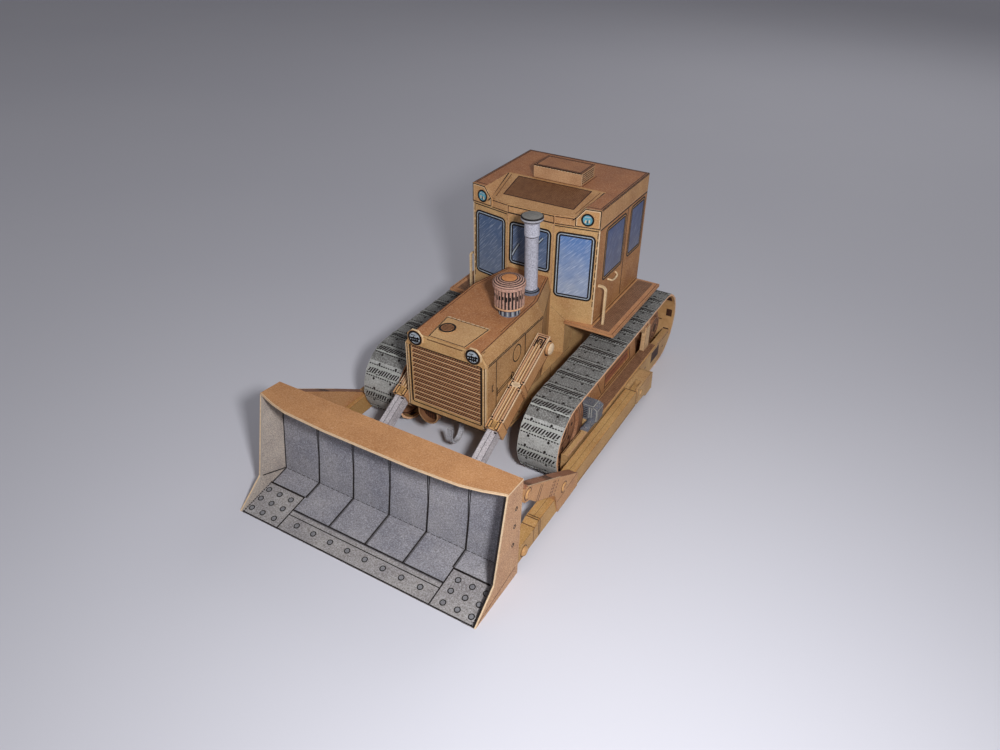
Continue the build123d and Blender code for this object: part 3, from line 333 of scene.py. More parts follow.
@dataclass(frozen=True)
class Card:
    """A printed card: brushed patches, a fine grain, inked folds, pale cut edges and, on some cards, painted shade
    on some faces.

    Attributes:
        name: The material's name.
        light: The print's lighter colour.
        dark: Its darker colour.
        patch: The size of the brushed patches.
        grain: How strongly the fine grain darkens and lightens the print.
        speck: The size of the grain's specks.
        fold: How strongly the folds are inked.
        worn: How strongly the folds' rims are rubbed pale.
        other: A second colour on some of its faces: a second print on some cards, painted shade on the up-facing
            faces of others.
        cut: Its bare cut edges, where they show; on the sump nose, painted shade on its curved faces.
        bare: The colour of its rubbed rims.
        pale: The colour of its palest specks.
        rough: The surface's roughness.
    """

    name: str
    light: Colour
    dark: Colour
    patch: float = 11.0
    grain: float = 0.3
    speck: float = 0.6
    fold: float = 0.85
    worn: float = 0.25
    other: Print | None = None
    cut: Cut | None = None
    bare: Colour = shade(216, 190, 156)
    pale: Colour = shade(230, 204, 172)
    rough: float = 0.62

    def material(self) -> bpy.types.Material:
        """Makes the card's material."""
        tree = Tree(self.name)
        patches = tree.spread(tree.noise(self.patch, 4.0, 0.6), 0.32, 0.7)
        colour = tree.mix(patches, self.dark, self.light)
        # On the hood, roof, roof box, track and brace cards this second colour is painted shade on the up-facing
        # faces.
        if self.other is not None:
            second = tree.mix(patches, self.other.dark, self.other.light)
            here = tree.math("GREATER_THAN", self._facing(tree, self.other.facing), self.other.close)
            colour = tree.mix(here, colour, second)
        grain = tree.noise(self.speck, 3.0, 0.7)
        dark_grain = tree.math("MULTIPLY", tree.spread(grain, 0.5, 0.72), self.grain)
        pale_grain = tree.math("MULTIPLY", tree.spread(grain, 0.5, 0.28), self.grain)
        colour = tree.mix(dark_grain, colour, shade(52, 34, 26))
        colour = tree.mix(pale_grain, colour, self.pale)
        near_fold = self._near_fold(tree)
        for share, reach, patch, gap, tint in (
            (self.worn, (0.003, 0.03), 3.0, (0.45, 0.6), self.bare),
            (self.fold, (0.05, 0.12), 2.2, (0.3, 0.48), shade(50, 29, 20)),
        ):
            if share:
                near, thin = tree.spread(near_fold, *reach), tree.spread(tree.noise(patch), *gap)
                rim = tree.math("MULTIPLY", near, thin)
                colour = tree.mix(tree.math("MULTIPLY", rim, share), colour, tint)
        # On the sump nose this paints shade on the curved faces; elsewhere it gives the bare cut edges.
        if self.cut is not None:
            turn = tree.math("ABSOLUTE", self._facing(tree, self.cut.facing))
            test = "LESS_THAN" if self.cut.across else "GREATER_THAN"
            colour = tree.mix(tree.math(test, turn, 0.5), colour, self.cut.bare)
        relief = tree.math("ADD", grain, tree.noise(2.6, 2.0))
        return tree.coat(colour, (patches, 0.12, self.rough - 0.06), 0.35, relief, 0.02)

    def _facing(self, tree: Tree, way: tuple[float, float, float]) -> Socket:
        """Measures how much a face looks one way.

        Args:
            tree: The material's tree.
            way: The way.

        Returns:
            The cosine's output.
        """
        dot = tree.add("ShaderNodeVectorMath", operation="DOT_PRODUCT")
        tree.feed(dot.inputs[0], tree.place["Normal"])
        dot.inputs[1].default_value = way
        return dot.outputs["Value"]

    def _near_fold(self, tree: Tree) -> Socket:
        """Measures how near a point is to a fold of the card.

        Args:
            tree: The material's tree.

        Returns:
            An output that grows from 0 towards a fold.
        """
        rounded = tree.add("ShaderNodeBevel", samples=4)
        rounded.inputs["Radius"].default_value = 0.42 * MM
        dot = tree.add("ShaderNodeVectorMath", operation="DOT_PRODUCT")
        tree.feed(dot.inputs[0], rounded.outputs["Normal"])
        tree.feed(dot.inputs[1], tree.add("ShaderNodeNewGeometry").outputs["True Normal"])
        return tree.math("SUBTRACT", 1.0, dot.outputs["Value"])


@dataclass(frozen=True)
class InkFinish:
    """A printed ink: a full colour that is faded in small patches."""

    name: str
    full: Colour
    faded: Colour
    patch: float = 1.3

    def material(self) -> bpy.types.Material:
        """Makes the ink's material."""
        tree = Tree(self.name)
        thin = tree.spread(tree.noise(self.patch, 3.0, 0.65), 0.42, 0.75)
        colour = tree.mix(thin, self.full, self.faded)
        return tree.coat(colour, (thin, 0.14, 0.5), 0.25, tree.noise(0.4, 2.0), 0.012)


@dataclass(frozen=True)
class PaneFinish:
    """A printed window: a blue wash, paler towards its foot, with slanting pencil strokes.

    Attributes:
        name: The material's name.
        along: The pane's own horizontal direction.
        top: The colour at its top.
        foot: The colour at its foot.
        top_z: The height of the top colour.
        foot_z: The height of the foot colour.
        strokes: How strongly the pale strokes show.
    """

    name: str
    along: tuple[float, float, float]
    top: Colour
    foot: Colour
    top_z: float = 99.0
    foot_z: float = 64.0
    strokes: float = 0.5

    def material(self) -> bpy.types.Material:
        """Makes the pane's material."""
        tree = Tree(self.name)
        across = Vector(self.along)
        high = tree.add("ShaderNodeSeparateXYZ")
        tree.feed(high.inputs[0], tree.place["Object"])
        height = tree.spread(high.outputs["Z"], self.foot_z * MM, self.top_z * MM)
        cloud = tree.math("MULTIPLY", tree.math("SUBTRACT", tree.noise(7.0, 3.0, 0.6), 0.5), 0.9)
        colour = tree.mix(tree.math("ADD", height, cloud, clamp=True), self.foot, self.top)
        pale = tree.stretched(across + UPWARD * 1.1, across * 1.1 - UPWARD, 6.0, 0.55)
        deep = tree.stretched(across + UPWARD * 0.8, across * 0.8 - UPWARD, 9.0, 0.9)
        for strokes, full, tint in ((pale, 0.75, shade(206, 214, 232)), (deep, 0.8, shade(62, 84, 132))):
            share = tree.math("MULTIPLY", tree.spread(strokes, 0.52, full), self.strokes)
            colour = tree.mix(share, colour, tint)
        return tree.coat(colour, (pale, 0.2, 0.42), 0.4, tree.noise(0.4, 2.0), 0.012)


class Ink(Enum):
    """The inks and small card colours that marks are printed in."""

    BLACK = InkFinish("ink_black", shade(20, 16, 16), shade(44, 36, 34))
    BROWN = InkFinish("ink_brown", shade(76, 45, 30), shade(112, 72, 48))
    UMBER = InkFinish("ink_umber", shade(52, 31, 25), shade(84, 54, 40))
    MESH = InkFinish("ink_mesh", shade(148, 104, 70), shade(124, 84, 56), 3.0)
    PEACH = InkFinish("ink_peach", shade(190, 148, 114), shade(168, 126, 94))
    STRAW = InkFinish("ink_straw", shade(200, 156, 102), shade(176, 132, 82))
    CREAM = InkFinish("ink_cream", shade(216, 190, 158), shade(190, 162, 130))
    TAN = InkFinish("ink_tan", shade(184, 144, 98), shade(164, 122, 78), 4.0)
    RUST = InkFinish("ink_rust", shade(150, 92, 66), shade(120, 72, 52), 2.0)
    SILVER = InkFinish("ink_silver", shade(164, 164, 172), shade(136, 136, 146))
    PALE = InkFinish("ink_pale", shade(170, 172, 168), shade(142, 144, 140))
    # The pale strips in painted shade, for the track's up-facing shoes.
    DULL = InkFinish("ink_dull", shade(142, 143, 140), shade(114, 115, 112))
    SLATE = InkFinish("ink_slate", shade(112, 118, 134), shade(88, 94, 108))
    LINE = InkFinish("ink_line", shade(84, 82, 86), shade(112, 110, 114))
    HEAD = InkFinish("ink_head", shade(128, 128, 132), shade(104, 104, 108))
    TEAL = InkFinish("ink_teal", shade(96, 158, 176), shade(66, 116, 136))
    SKY = InkFinish("ink_sky", shade(168, 178, 188), shade(128, 138, 150))
    PIPE = InkFinish("ink_pipe", shade(186, 186, 198), shade(116, 116, 128), 0.7)
    LID = InkFinish("ink_lid", shade(128, 126, 122), shade(106, 104, 102), 2.0)
    AMBER = InkFinish("ink_amber", shade(198, 136, 86), shade(176, 114, 70), 2.0)
    ROSE = InkFinish("ink_rose", shade(186, 148, 132), shade(134, 98, 86), 0.9)
    BOSS = InkFinish("ink_boss", shade(188, 146, 98), shade(156, 114, 74), 1.4)
    WALKWAY = InkFinish("ink_walkway", shade(164, 122, 92), shade(140, 100, 74), 3.0)
    PANE_FRONT = PaneFinish("pane_front", (1, 0, 0), shade(86, 120, 172), shade(150, 160, 180))
    PANE_SIDE = PaneFinish("pane_side", (0, 1, 0), shade(74, 86, 122), shade(112, 112, 126), strokes=0.3)
    PANE_DIM = PaneFinish("pane_dim", (1, 0, 0), shade(66, 88, 122), shade(104, 114, 134), strokes=0.35)


Band = tuple[float, float, Ink]
DEEP_PRINT = (shade(180, 129, 80), shade(152, 101, 60))
PLAIN = {"fold": 0.0, "worn": 0.0}


ORANGE = Card("card_orange", shade(196, 158, 107), shade(174, 132, 86))
DEEP_ORANGE = Card("card_deep_orange", *DEEP_PRINT)
# The hood's up-facing faces are printed darker: painted shade.
HOOD_ORANGE_SHADED_TOP = Card(
    "card_hood", shade(172, 132, 86), shade(150, 108, 66),
    other=Print((0, 0, 1), shade(176, 120, 76), shade(152, 97, 60), 0.97),
)
SLATS = Card("card_slats", shade(204, 164, 122), shade(182, 140, 102), fold=0.3)
FILLER = Card("card_filler", shade(196, 156, 108), shade(176, 134, 90), fold=0.4)
# The roof's up-facing faces are printed darker: painted shade.
ROOF = Card(
    "card_roof", shade(188, 144, 98), shade(164, 118, 76),
    other=Print((0, 0, 1), shade(173, 114, 74), shade(148, 92, 58), 0.99), patch=16.0,
)
# The roof box's up-facing faces are printed darker: painted shade.
ROOF_BOX = Card(
    "card_roof_box", shade(190, 147, 108), shade(168, 124, 88),
    other=Print((0, 0, 1), shade(172, 116, 76), shade(150, 96, 62), 0.9),
)
LAMP_PLATE = Card("card_lamp_plate", shade(196, 150, 100), shade(174, 128, 82), fold=0.0, worn=0.9)
FLOOR = Card("card_floor", shade(196, 142, 98), shade(172, 116, 76))
STEP = Card("card_step", shade(198, 156, 106), shade(176, 132, 86))
RAIL = Card("card_rail", shade(228, 202, 162), shade(204, 172, 130), fold=0.35, patch=4.0)
RUST = Card("card_rust", shade(160, 112, 80), shade(124, 82, 58), patch=6.0)
STEEL = Card(
    "card_steel", shade(184, 184, 190), shade(156, 156, 164), grain=0.5, fold=1.0,
    pale=shade(220, 220, 226),
)
YOKE = Card("card_yoke", shade(108, 114, 128), shade(80, 86, 98), grain=0.4, fold=0.5, patch=5.0)
IRON = Card(
    "card_iron", shade(156, 152, 150), shade(132, 128, 130), patch=14.0, grain=0.6, speck=0.62,
    pale=shade(196, 196, 202), **PLAIN,
)
MOLDBOARD = Card(
    "card_moldboard", shade(146, 144, 149), shade(118, 118, 128), other=Print((0, 1, 0), *DEEP_PRINT, 0.7),
    patch=16.0, grain=0.5, speck=0.62, pale=shade(206, 206, 214), **PLAIN,
)
# The track's up-facing faces are printed darker: painted shade.
TRACK = Card(
    "card_track", shade(174, 175, 173), shade(146, 147, 145),
    other=Print((0, 0, 1), shade(118, 118, 116), shade(94, 94, 92), 0.75),
    cut=Cut((1, 0, 0), shade(224, 176, 136), False), patch=5.0, grain=0.5, speck=0.62,
    pale=shade(208, 208, 208), **PLAIN,
)
CREAM = Card("card_cream", shade(218, 184, 142), shade(190, 152, 112), patch=6.0)
# The nose's curved faces are dark brown: painted shade of its hollow; its front rim keeps the card's colour.
SUMP = Card("card_sump", shade(178, 138, 94), shade(150, 106, 70), cut=Cut((0, 1, 0), shade(120, 82, 56)))
HEADLIGHT = Card(
    "card_headlight", shade(194, 152, 102), shade(172, 128, 84), fold=0.4,
    cut=Cut((0, 1, 0), shade(208, 180, 142)),
)
VISOR = Card(
    "card_visor", shade(188, 136, 90), shade(168, 117, 74), patch=14.0, fold=0.0,
    cut=Cut((0, 0, 1), shade(212, 184, 150)),
)
END_LEFT, END_RIGHT = (
    Card(
        f"card_end_{word}", shade(190, 147, 110), shade(168, 124, 91), grain=0.55, fold=0.0,
        other=Print((inner, 0, 0), shade(178, 168, 160), shade(152, 144, 140), 0.7),
        cut=Cut((1, 0, 0), shade(164, 154, 146)),
    )
    for word, inner in (("left", -1), ("right", 1))
)
ARM = Card("card_arm", shade(188, 147, 90), shade(164, 122, 70), patch=18.0)
# The brace's up-facing faces are printed darker: painted shade.
BRACE = Card(
    "card_brace", shade(192, 144, 98), shade(168, 118, 78),
    other=Print((0, 0, 1), shade(150, 98, 70), shade(126, 80, 58), 0.5),
)
CASING = Card("card_casing", shade(198, 148, 100), shade(176, 124, 80), worn=0.6)
ROD = Card(
    "card_rod", shade(190, 183, 187), shade(166, 160, 166), patch=8.0, grain=0.6, pale=shade(222, 218, 222),
    fold=0.3, worn=0.0,
)


# ---- panels and marks --------------------------------------------------------


class Surface(Protocol):
    """Anything that marks can be printed on."""

    mirrored: bool

    def at(self, first: float, second: float, proud: float = 0.0) -> Vector:
        """Gives a point in metres."""


@dataclass(frozen=True)
class Panel:
    """A flat face of the model that carries printing.

    Attributes:
        origin: The point that marks are measured from.
        along: The direction of their first measure.
        up: The direction of their second measure.
        out: The way the face looks.
    """

    origin: Vector
    along: Vector
    up: Vector
    out: Vector

    def at(self, first: float, second: float, proud: float = 0.0) -> Vector:
        """Gives a point in metres.

        Args:
            first: The measure along.
            second: The measure up.
            proud: The height over the face.

        Returns:
            The point in the model's frame.
        """
        return (self.origin + self.along * first + self.up * second + self.out * proud) * MM

    @property
    def mirrored(self) -> bool:
        """Whether the measures run clockwise, seen from outside."""
        return self.along.cross(self.up).dot(self.out) < 0

    def moved(self, first: float = 0.0, second: float = 0.0, out: float = 0.0) -> "Panel":
        """Gives the same panel moved in its own measures.

        Args:
            first: How far along.
            second: How far up.
            out: How far the way it looks.

        Returns:
            The moved panel.
        """
        origin = self.origin + self.along * first + self.up * second + self.out * out
        return Panel(origin, self.along, self.up, self.out)

    @staticmethod
    def side(x: float, sign: int = 1, look: int = 1) -> "Panel":
        """Gives a face that looks sideways, measured by y and z.

        Args:
            x: Its distance from the middle.
            sign: Which side it is on.
            look: Whether it looks away from the middle (1) or to it (-1).

        Returns:
            The panel.
        """
        return Panel(ACROSS * sign * x, REARWARD, UPWARD, ACROSS * sign * look)

    @staticmethod
    def wall(start: Flat, end: Flat, sign: int = 1) -> "Panel":
        """Gives an upright face between two (x, y) corners.

        Args:
            start: The corner that marks are measured from.
            end: The corner that they are measured towards.
            sign: 1 if it looks to the right of that way, -1 if to the left.

        Returns:
            The panel, measured by the distance from the start and by z.
        """
        along = Vector((end[0] - start[0], end[1] - start[1], 0)).normalized()
        return Panel(Vector((*start, 0)), along, UPWARD, Vector((along.y, -along.x, 0)) * sign)

    @staticmethod
    def front(y: float) -> "Panel":
        """Gives a face that looks forward at y, measured by x and z."""
        return Panel(REARWARD * y, ACROSS, UPWARD, -REARWARD)

    @staticmethod
    def top(z: float) -> "Panel":
        """Gives a face that looks up at z, measured by x and y."""
        return Panel(UPWARD * z, ACROSS, REARWARD, UPWARD)

    @staticmethod
    def sloping(low: Flat, high: Flat, out_sign: int = -1) -> "Panel":
        """Gives a face across the machine between two points of its section.

        Args:
            low: The (y, z) that marks are measured up from.
            high: The (y, z) that they are measured towards.
            out_sign: Which way the face looks along Y.

        Returns:
            The panel, measured by x and the distance from the low point.
        """
        up = Vector((0, high[0] - low[0], high[1] - low[1])).normalized()
        out = ACROSS.cross(up)
        if out.y * out_sign < 0:
            out = -out
        return Panel(Vector((0, *low)), ACROSS, up, out)


class Marks:
    """Flat marks on panels, gathered into one mesh of thin closed blocks."""

    SUNK = 0.05
    PROUD = 0.045
    BLEED = 0.1

    def __init__(self) -> None:
        """Starts with no marks."""
        self.points: list[Vector] = []
        self.faces: list[tuple[int, ...]] = []
        self.inks: list[Ink] = []

    def block(
        self, panel: Surface, outline: Sequence[Flat], ink: Ink, proud: float = PROUD, sunk: float = SUNK
    ) -> None:
        """Adds one closed block over an outline.

        Args:
            panel: Its face.
            outline: Its corners in the panel's measures.
            ink: Its ink.
            proud: How far it stands over the face.
            sunk: How far it reaches into the card.
        """
        start, count = len(self.points), len(outline)
        self.points += [panel.at(*corner, -sunk) for corner in outline]
        self.points += [panel.at(*corner, proud) for corner in outline]
        spans = zip(outline, [*outline[1:], outline[0]])
        area = sum(here[0] * ahead[1] - ahead[0] * here[1] for here, ahead in spans)
        keeps = panel.mirrored == (area < 0)
        ring = list(range(count))
        faces = [tuple(start + count + i for i in ring), tuple(start + i for i in reversed(ring))]
        for here in ring:
            ahead = (here + 1) % count
            faces.append((start + here, start + ahead, start + count + ahead, start + count + here))
        self.faces += faces if keeps else [tuple(reversed(face)) for face in faces]
        self.inks += [ink] * len(faces)

    def box(self, panel: Surface, low: Flat, high: Flat, ink: Ink, **depth: float) -> None:
        """Adds a rectangle between two corners.

        Args:
            panel: Its face.
            low: Its lowest corner.
            high: Its highest corner.
            ink: Its ink.
            **depth: The block's proud and sunk.
        """
        self.block(panel, (low, (high[0], low[1]), high, (low[0], high[1])), ink, **depth)

    def line(
        self, panel: Surface, route: Sequence[Flat], wide: float, ink: Ink, closed: bool = False, **depth: float
    ) -> None:
        """Adds a line of even width along a route, mitred at its corners.

        Args:
            panel: Its face.
            route: The points of its middle.
            wide: Its width.
            ink: Its ink.
            closed: Whether it comes back to its start.
            **depth: The block's proud and sunk.
        """
        points = [Vector(point) for point in route]
        count, wide = len(points), wide + self.BLEED
        rims: list[tuple[Flat, Flat]] = []
        for index, point in enumerate(points):
            behind = points[index - 1] if index or closed else None
            ahead = points[(index + 1) % count] if index < count - 1 or closed else None
            spans = ((behind, point), (point, ahead))
            ways = [(b - a).normalized() for a, b in spans if a is not None and b is not None]
            normals = [Vector((-way.y, way.x)) for way in ways]
            middle = (normals[0] + normals[-1]).normalized()
            reach = middle * (wide / 2 / max(middle.dot(normals[0]), 0.35))
            rims.append((tuple(point + reach), tuple(point - reach)))
        for index in range(count if closed else count - 1):
            here, there = rims[index], rims[(index + 1) % count]
            self.block(panel, (here[1], there[1], there[0], here[0]), ink, **depth)

    def rules(self, panel: Surface, rows: Sequence[Sequence[Any]], flip: int = 1, **depth: float) -> None:
        """Adds a line for each row of a table.

        Args:
            panel: Their face.
            rows: Each line's ink, its width, and the measures of its points in turn.
            flip: The sign of the first measures.
            **depth: The blocks' proud and sunk.
        """
        for ink, wide, *flat in rows:
            self.line(panel, [(flip * x, y) for x, y in zip(flat[::2], flat[1::2])], wide, ink, **depth)

    def dashes(self, panel: Surface, start: Flat, end: Flat, wide: float, dash: float, gap: float, ink: Ink) -> None:
        """Adds a broken line.

        Args:
            panel: Its face.
            start: Its first point.
            end: Its last point.
            wide: Its width.
            dash: The length of a dash.
            gap: The gap between dashes.
            ink: Its ink.
        """
        first, last = Vector(start), Vector(end)
        way, long = (last - first).normalized(), (last - first).length
        for index in range(int(long / (dash + gap)) + 1):
            at = index * (dash + gap)
            self.line(panel, (tuple(first + way * at), tuple(first + way * min(at + dash, long))), wide, ink)

    def hatch(
        self, panel: Surface, low: Flat, high: Flat, pitch: float, wide: float, lean: float, ink: Ink, **depth: float
    ) -> None:
        """Adds a row of slanting strokes.

        Args:
            panel: Their face.
            low: The row's lowest corner.
            high: Its highest corner.
            pitch: The distance between strokes.
            wide: A stroke's width along the row.
            lean: How far a stroke's top is along from its foot.
            ink: Its ink.
            **depth: The blocks' proud and sunk.
        """
        count = int((high[0] - low[0] - wide - abs(lean)) / pitch) + 1
        start = low[0] + max(-lean, 0.0)
        for index in range(count):
            foot = start + index * pitch
            corners = ((foot, low[1]), (foot + wide, low[1]), (foot + wide + lean, high[1]), (foot + lean, high[1]))
            self.block(panel, corners, ink, **depth)

    def disc(self, panel: Surface, middle: Flat, radius: float, ink: Ink, sides: int = 24, **depth: float) -> None:
        """Adds a disc.

        Args:
            panel: Its face.
            middle: Its middle.
            radius: Its radius.
            ink: Its ink.
            sides: How many sides its outline has.
            **depth: The block's proud and sunk.
        """
        self.block(panel, round_points(middle, radius, radius, sides), ink, **depth)

    def spots(
        self, panel: Surface, middles: Sequence[Flat], radius: float, ink: Ink, sides: int = 24, **depth: float
    ) -> None:
        """Adds a disc on each of the given points.

        Args:
            panel: Their face.
            middles: Their middles.
            radius: Their radius.
            ink: Their ink.
            sides: How many sides an outline has.
            **depth: The blocks' proud and sunk.
        """
        for middle in middles:
            self.disc(panel, middle, radius, ink, sides, **depth)

    def ring(
        self, panel: Surface, middle: Flat, radius: float, wide: float, ink: Ink, flat: float = 1.0, **depth: float
    ) -> None:
        """Adds a ring, or an oval where it is flattened along.

        Args:
            panel: Its face.
            middle: Its middle.
            radius: The radius of its line's middle.
            wide: Its line's width.
            ink: Its ink.
            flat: The share of the radius along the first measure.
            **depth: The blocks' proud and sunk.
        """
        self.line(panel, round_points(middle, radius * flat, radius, 32), wide, ink, closed=True, **depth)

    def build(self, name: str) -> bpy.types.Object:
        """Makes the mesh object of all the marks so far.

        Args:
            name: The piece's name.

        Returns:
            The new object, with one material for each ink.
        """
        return inked_mesh(name, self.points, self.faces, self.inks)


def round_points(middle: Flat, wide: float, high: float, sides: int) -> list[Flat]:
    """Gives the points of an oval.

    Args:
        middle: Its middle.
        wide: Its half width.
        high: Its half height.
        sides: How many points it has.

    Returns:
        The points, counter-clockwise.
    """
    turns = [2 * math.pi * side / sides for side in range(sides)]
    return [(middle[0] + wide * math.cos(turn), middle[1] + high * math.sin(turn)) for turn in turns]


def rounded_box(middle: Flat, wide: float, high: float, corner: float, spans: int = 5) -> list[Flat]:
    """Gives the points of a rectangle with round corners.

    Args:
        middle: Its middle.
        wide: Its width.
        high: Its height.
        corner: The corners' radius.
        spans: How many spans a corner has.

    Returns:
        The points, counter-clockwise.
    """
    points = []
    for quarter, (right, up) in enumerate(((1, 1), (-1, 1), (-1, -1), (1, -1))):
        centre = (middle[0] + right * (wide / 2 - corner), middle[1] + up * (high / 2 - corner))
        for step in range(spans + 1):
            turn = (quarter + step / spans) * math.pi / 2
            points.append((centre[0] + corner * math.cos(turn), centre[1] + corner * math.sin(turn)))
    return points


class Shop:
    """Puts finishes on the frame's nodes and added pieces on their bodies."""

    made: dict[Any, bpy.types.Material] = {}

    def __init__(self, frame: dict[str, Any]) -> None:
        """Keeps the loaded frame.
        """
        self.nodes: dict[str, bpy.types.Object] = frame["nodes"]
        self.placed = 0

    @classmethod
    def finish(cls, finish: Any) -> bpy.types.Material:
        """Gives a finish's material, made once.

        Args:
            finish: A Card, InkFinish or PaneFinish.

        Returns:
            The material.
        """
        if finish not in cls.made:
            cls.made[finish] = finish.material()
        return cls.made[finish]

    def dress(self, node: str, finish: Any) -> None:
        """Gives a node of the frame its finish.

        Args:
            node: The node's name.
            finish: The finish.
        """
        mesh = self.nodes[node].data
        mesh.materials.clear()
        mesh.materials.append(self.finish(finish))
        LOG.info("dressed %s in %s", node, finish.name)

    def place(self, piece: "Piece") -> None:
        """Puts an added piece on its body and reports it.

        Args:
            piece: The piece, already in its place.
        """
        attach(piece.shape, piece.body)
        if piece.stands_for:
            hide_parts(*piece.stands_for)
        self.placed += 1
        LOG.info("placed %s on %s", piece.shape.name, piece.body)


def turned(name: str, panel: Panel, bands: Sequence[Band], sides: int = 64) -> bpy.types.Object:
    """Makes a closed turned piece that stands on a panel's origin.

    Args:
        name: The piece's name.
        panel: The face it stands on, with its axis at the origin.
        bands: Its spans' end radius, end height and ink, from the middle of its foot on.
        sides: How many sides it has.

    Returns:
        The new object, its spans in their inks.
    """
    rings = bands[1:-1]
    points = [panel.at(0, 0, bands[0][1])]
    for radius, height, _ in rings:
        points += [panel.at(*spot, height) for spot in round_points((0, 0), radius, radius, sides)]
    points.append(panel.at(0, 0, bands[-1][1]))
    faces: list[tuple[int, ...]] = []
    inks: list[Ink] = []
    last, top = len(points) - 1, (len(rings) - 1) * sides
    for side in range(sides):
        here, ahead = 1 + side, 1 + (side + 1) % sides
        faces.append((0, ahead, here))
        for low in range(0, top, sides):
            high = low + sides
            faces.append((low + here, low + ahead, high + ahead, high + here))
        faces.append((last, top + here, top + ahead))
        inks += [ink for _, _, ink in bands[1:]]
    if panel.mirrored:
        faces = [tuple(reversed(face)) for face in faces]
    return inked_mesh(name, points, faces, inks, smooth=True)


def inked_mesh(
    name: str, points: Sequence[Vector], faces: Sequence[tuple[int, ...]], inks: Sequence[Ink], smooth: bool = False
) -> bpy.types.Object:
    """Makes a mesh object whose faces have their own inks.

    Args:
        name: The piece's name.
        points: Its points in metres.
        faces: Its faces.
        inks: The ink of each face.
        smooth: Whether it is shaded smooth between faces that meet at a small angle.

    Returns:
        The new object.
    """
    mesh = bpy.data.meshes.new(name)
    mesh.from_pydata(points, [], faces)
    used = sorted(set(inks), key=lambda ink: ink.name)
    for ink in used:
        mesh.materials.append(Shop.finish(ink.value))
    places = {ink: index for index, ink in enumerate(used)}
    mesh.polygons.foreach_set("material_index", [places[ink] for ink in inks])
    if smooth:
        mesh.polygons.foreach_set("use_smooth", [True] * len(faces))
        mesh.set_sharp_from_angle(angle=math.radians(32))
    mesh.update()
    piece = bpy.data.objects.new(name, mesh)
    bpy.context.scene.collection.objects.link(piece)
    return piece


def dome(name: str, panel: Panel, radius: float, high: float, ink: Ink) -> bpy.types.Object:
    """Makes a domed boss on a panel's origin.

    Args:
        name: The piece's name.
        panel: The face it stands on.
        radius: Its radius.
        high: Its height.
        ink: Its ink.

    Returns:
        The new object.
    """
    rise = 0.25 * high
    bands = [(0, -0.3, ink), (radius, -0.3, ink), (radius, rise, ink)]
    for turn in steps(math.pi / 14, math.pi / 14, 6):
        bands.append((radius * math.cos(turn), rise + (high - rise) * math.sin(turn), ink))
    return turned(name, panel, [*bands, (0, high, ink)], 40)


@dataclass(frozen=True)
class Piece:
    """An added piece, its body, its record's material slot and the nodes it stands for."""

    shape: bpy.types.Object
    body: str
    slot: Slot
    stands_for: tuple[str, ...] = ()


class Assembly(ABC):
    """A sub-assembly of the model, which finishes its nodes and adds its own pieces."""

    @abstractmethod
    def finishes(self) -> dict[str, Any]:
        """Gives the finish of each of its nodes."""

    @abstractmethod
    def pieces(self) -> Iterator[Piece]:
        """Makes its added pieces."""

    def build(self, shop: Shop) -> None:
        """Finishes the nodes and places the pieces.

        Args:
            shop: The shop that holds the frame.
        """
        for node, finish in self.finishes().items():
            shop.dress(node, finish)
        for piece in self.pieces():
            shop.place(piece)


def printed(name: str, body: str, slot: Slot, *prints: Callable[[Marks], None]) -> Piece:
    """Makes a piece of printed marks.

    Args:
        name: The piece's name.
        body: The body it moves with.
        slot: The record's material slot.
        *prints: The methods that print on it, in turn.

    Returns:
        The piece.
    """
    marks = Marks()
    for add in prints:
        add(marks)
    return Piece(marks.build(name), body, slot)


def both(name: str, finish: Any) -> dict[str, Any]:
    """Gives the same finish to a pair of nodes.

    Args:
        name: The pair's name without its side.
        finish: The finish.

    Returns:
        The two nodes with the finish.
    """
    return {f"{name}_{side.word}": finish for side in Side}


# ---- the tractor ---------------------------------------------------------------


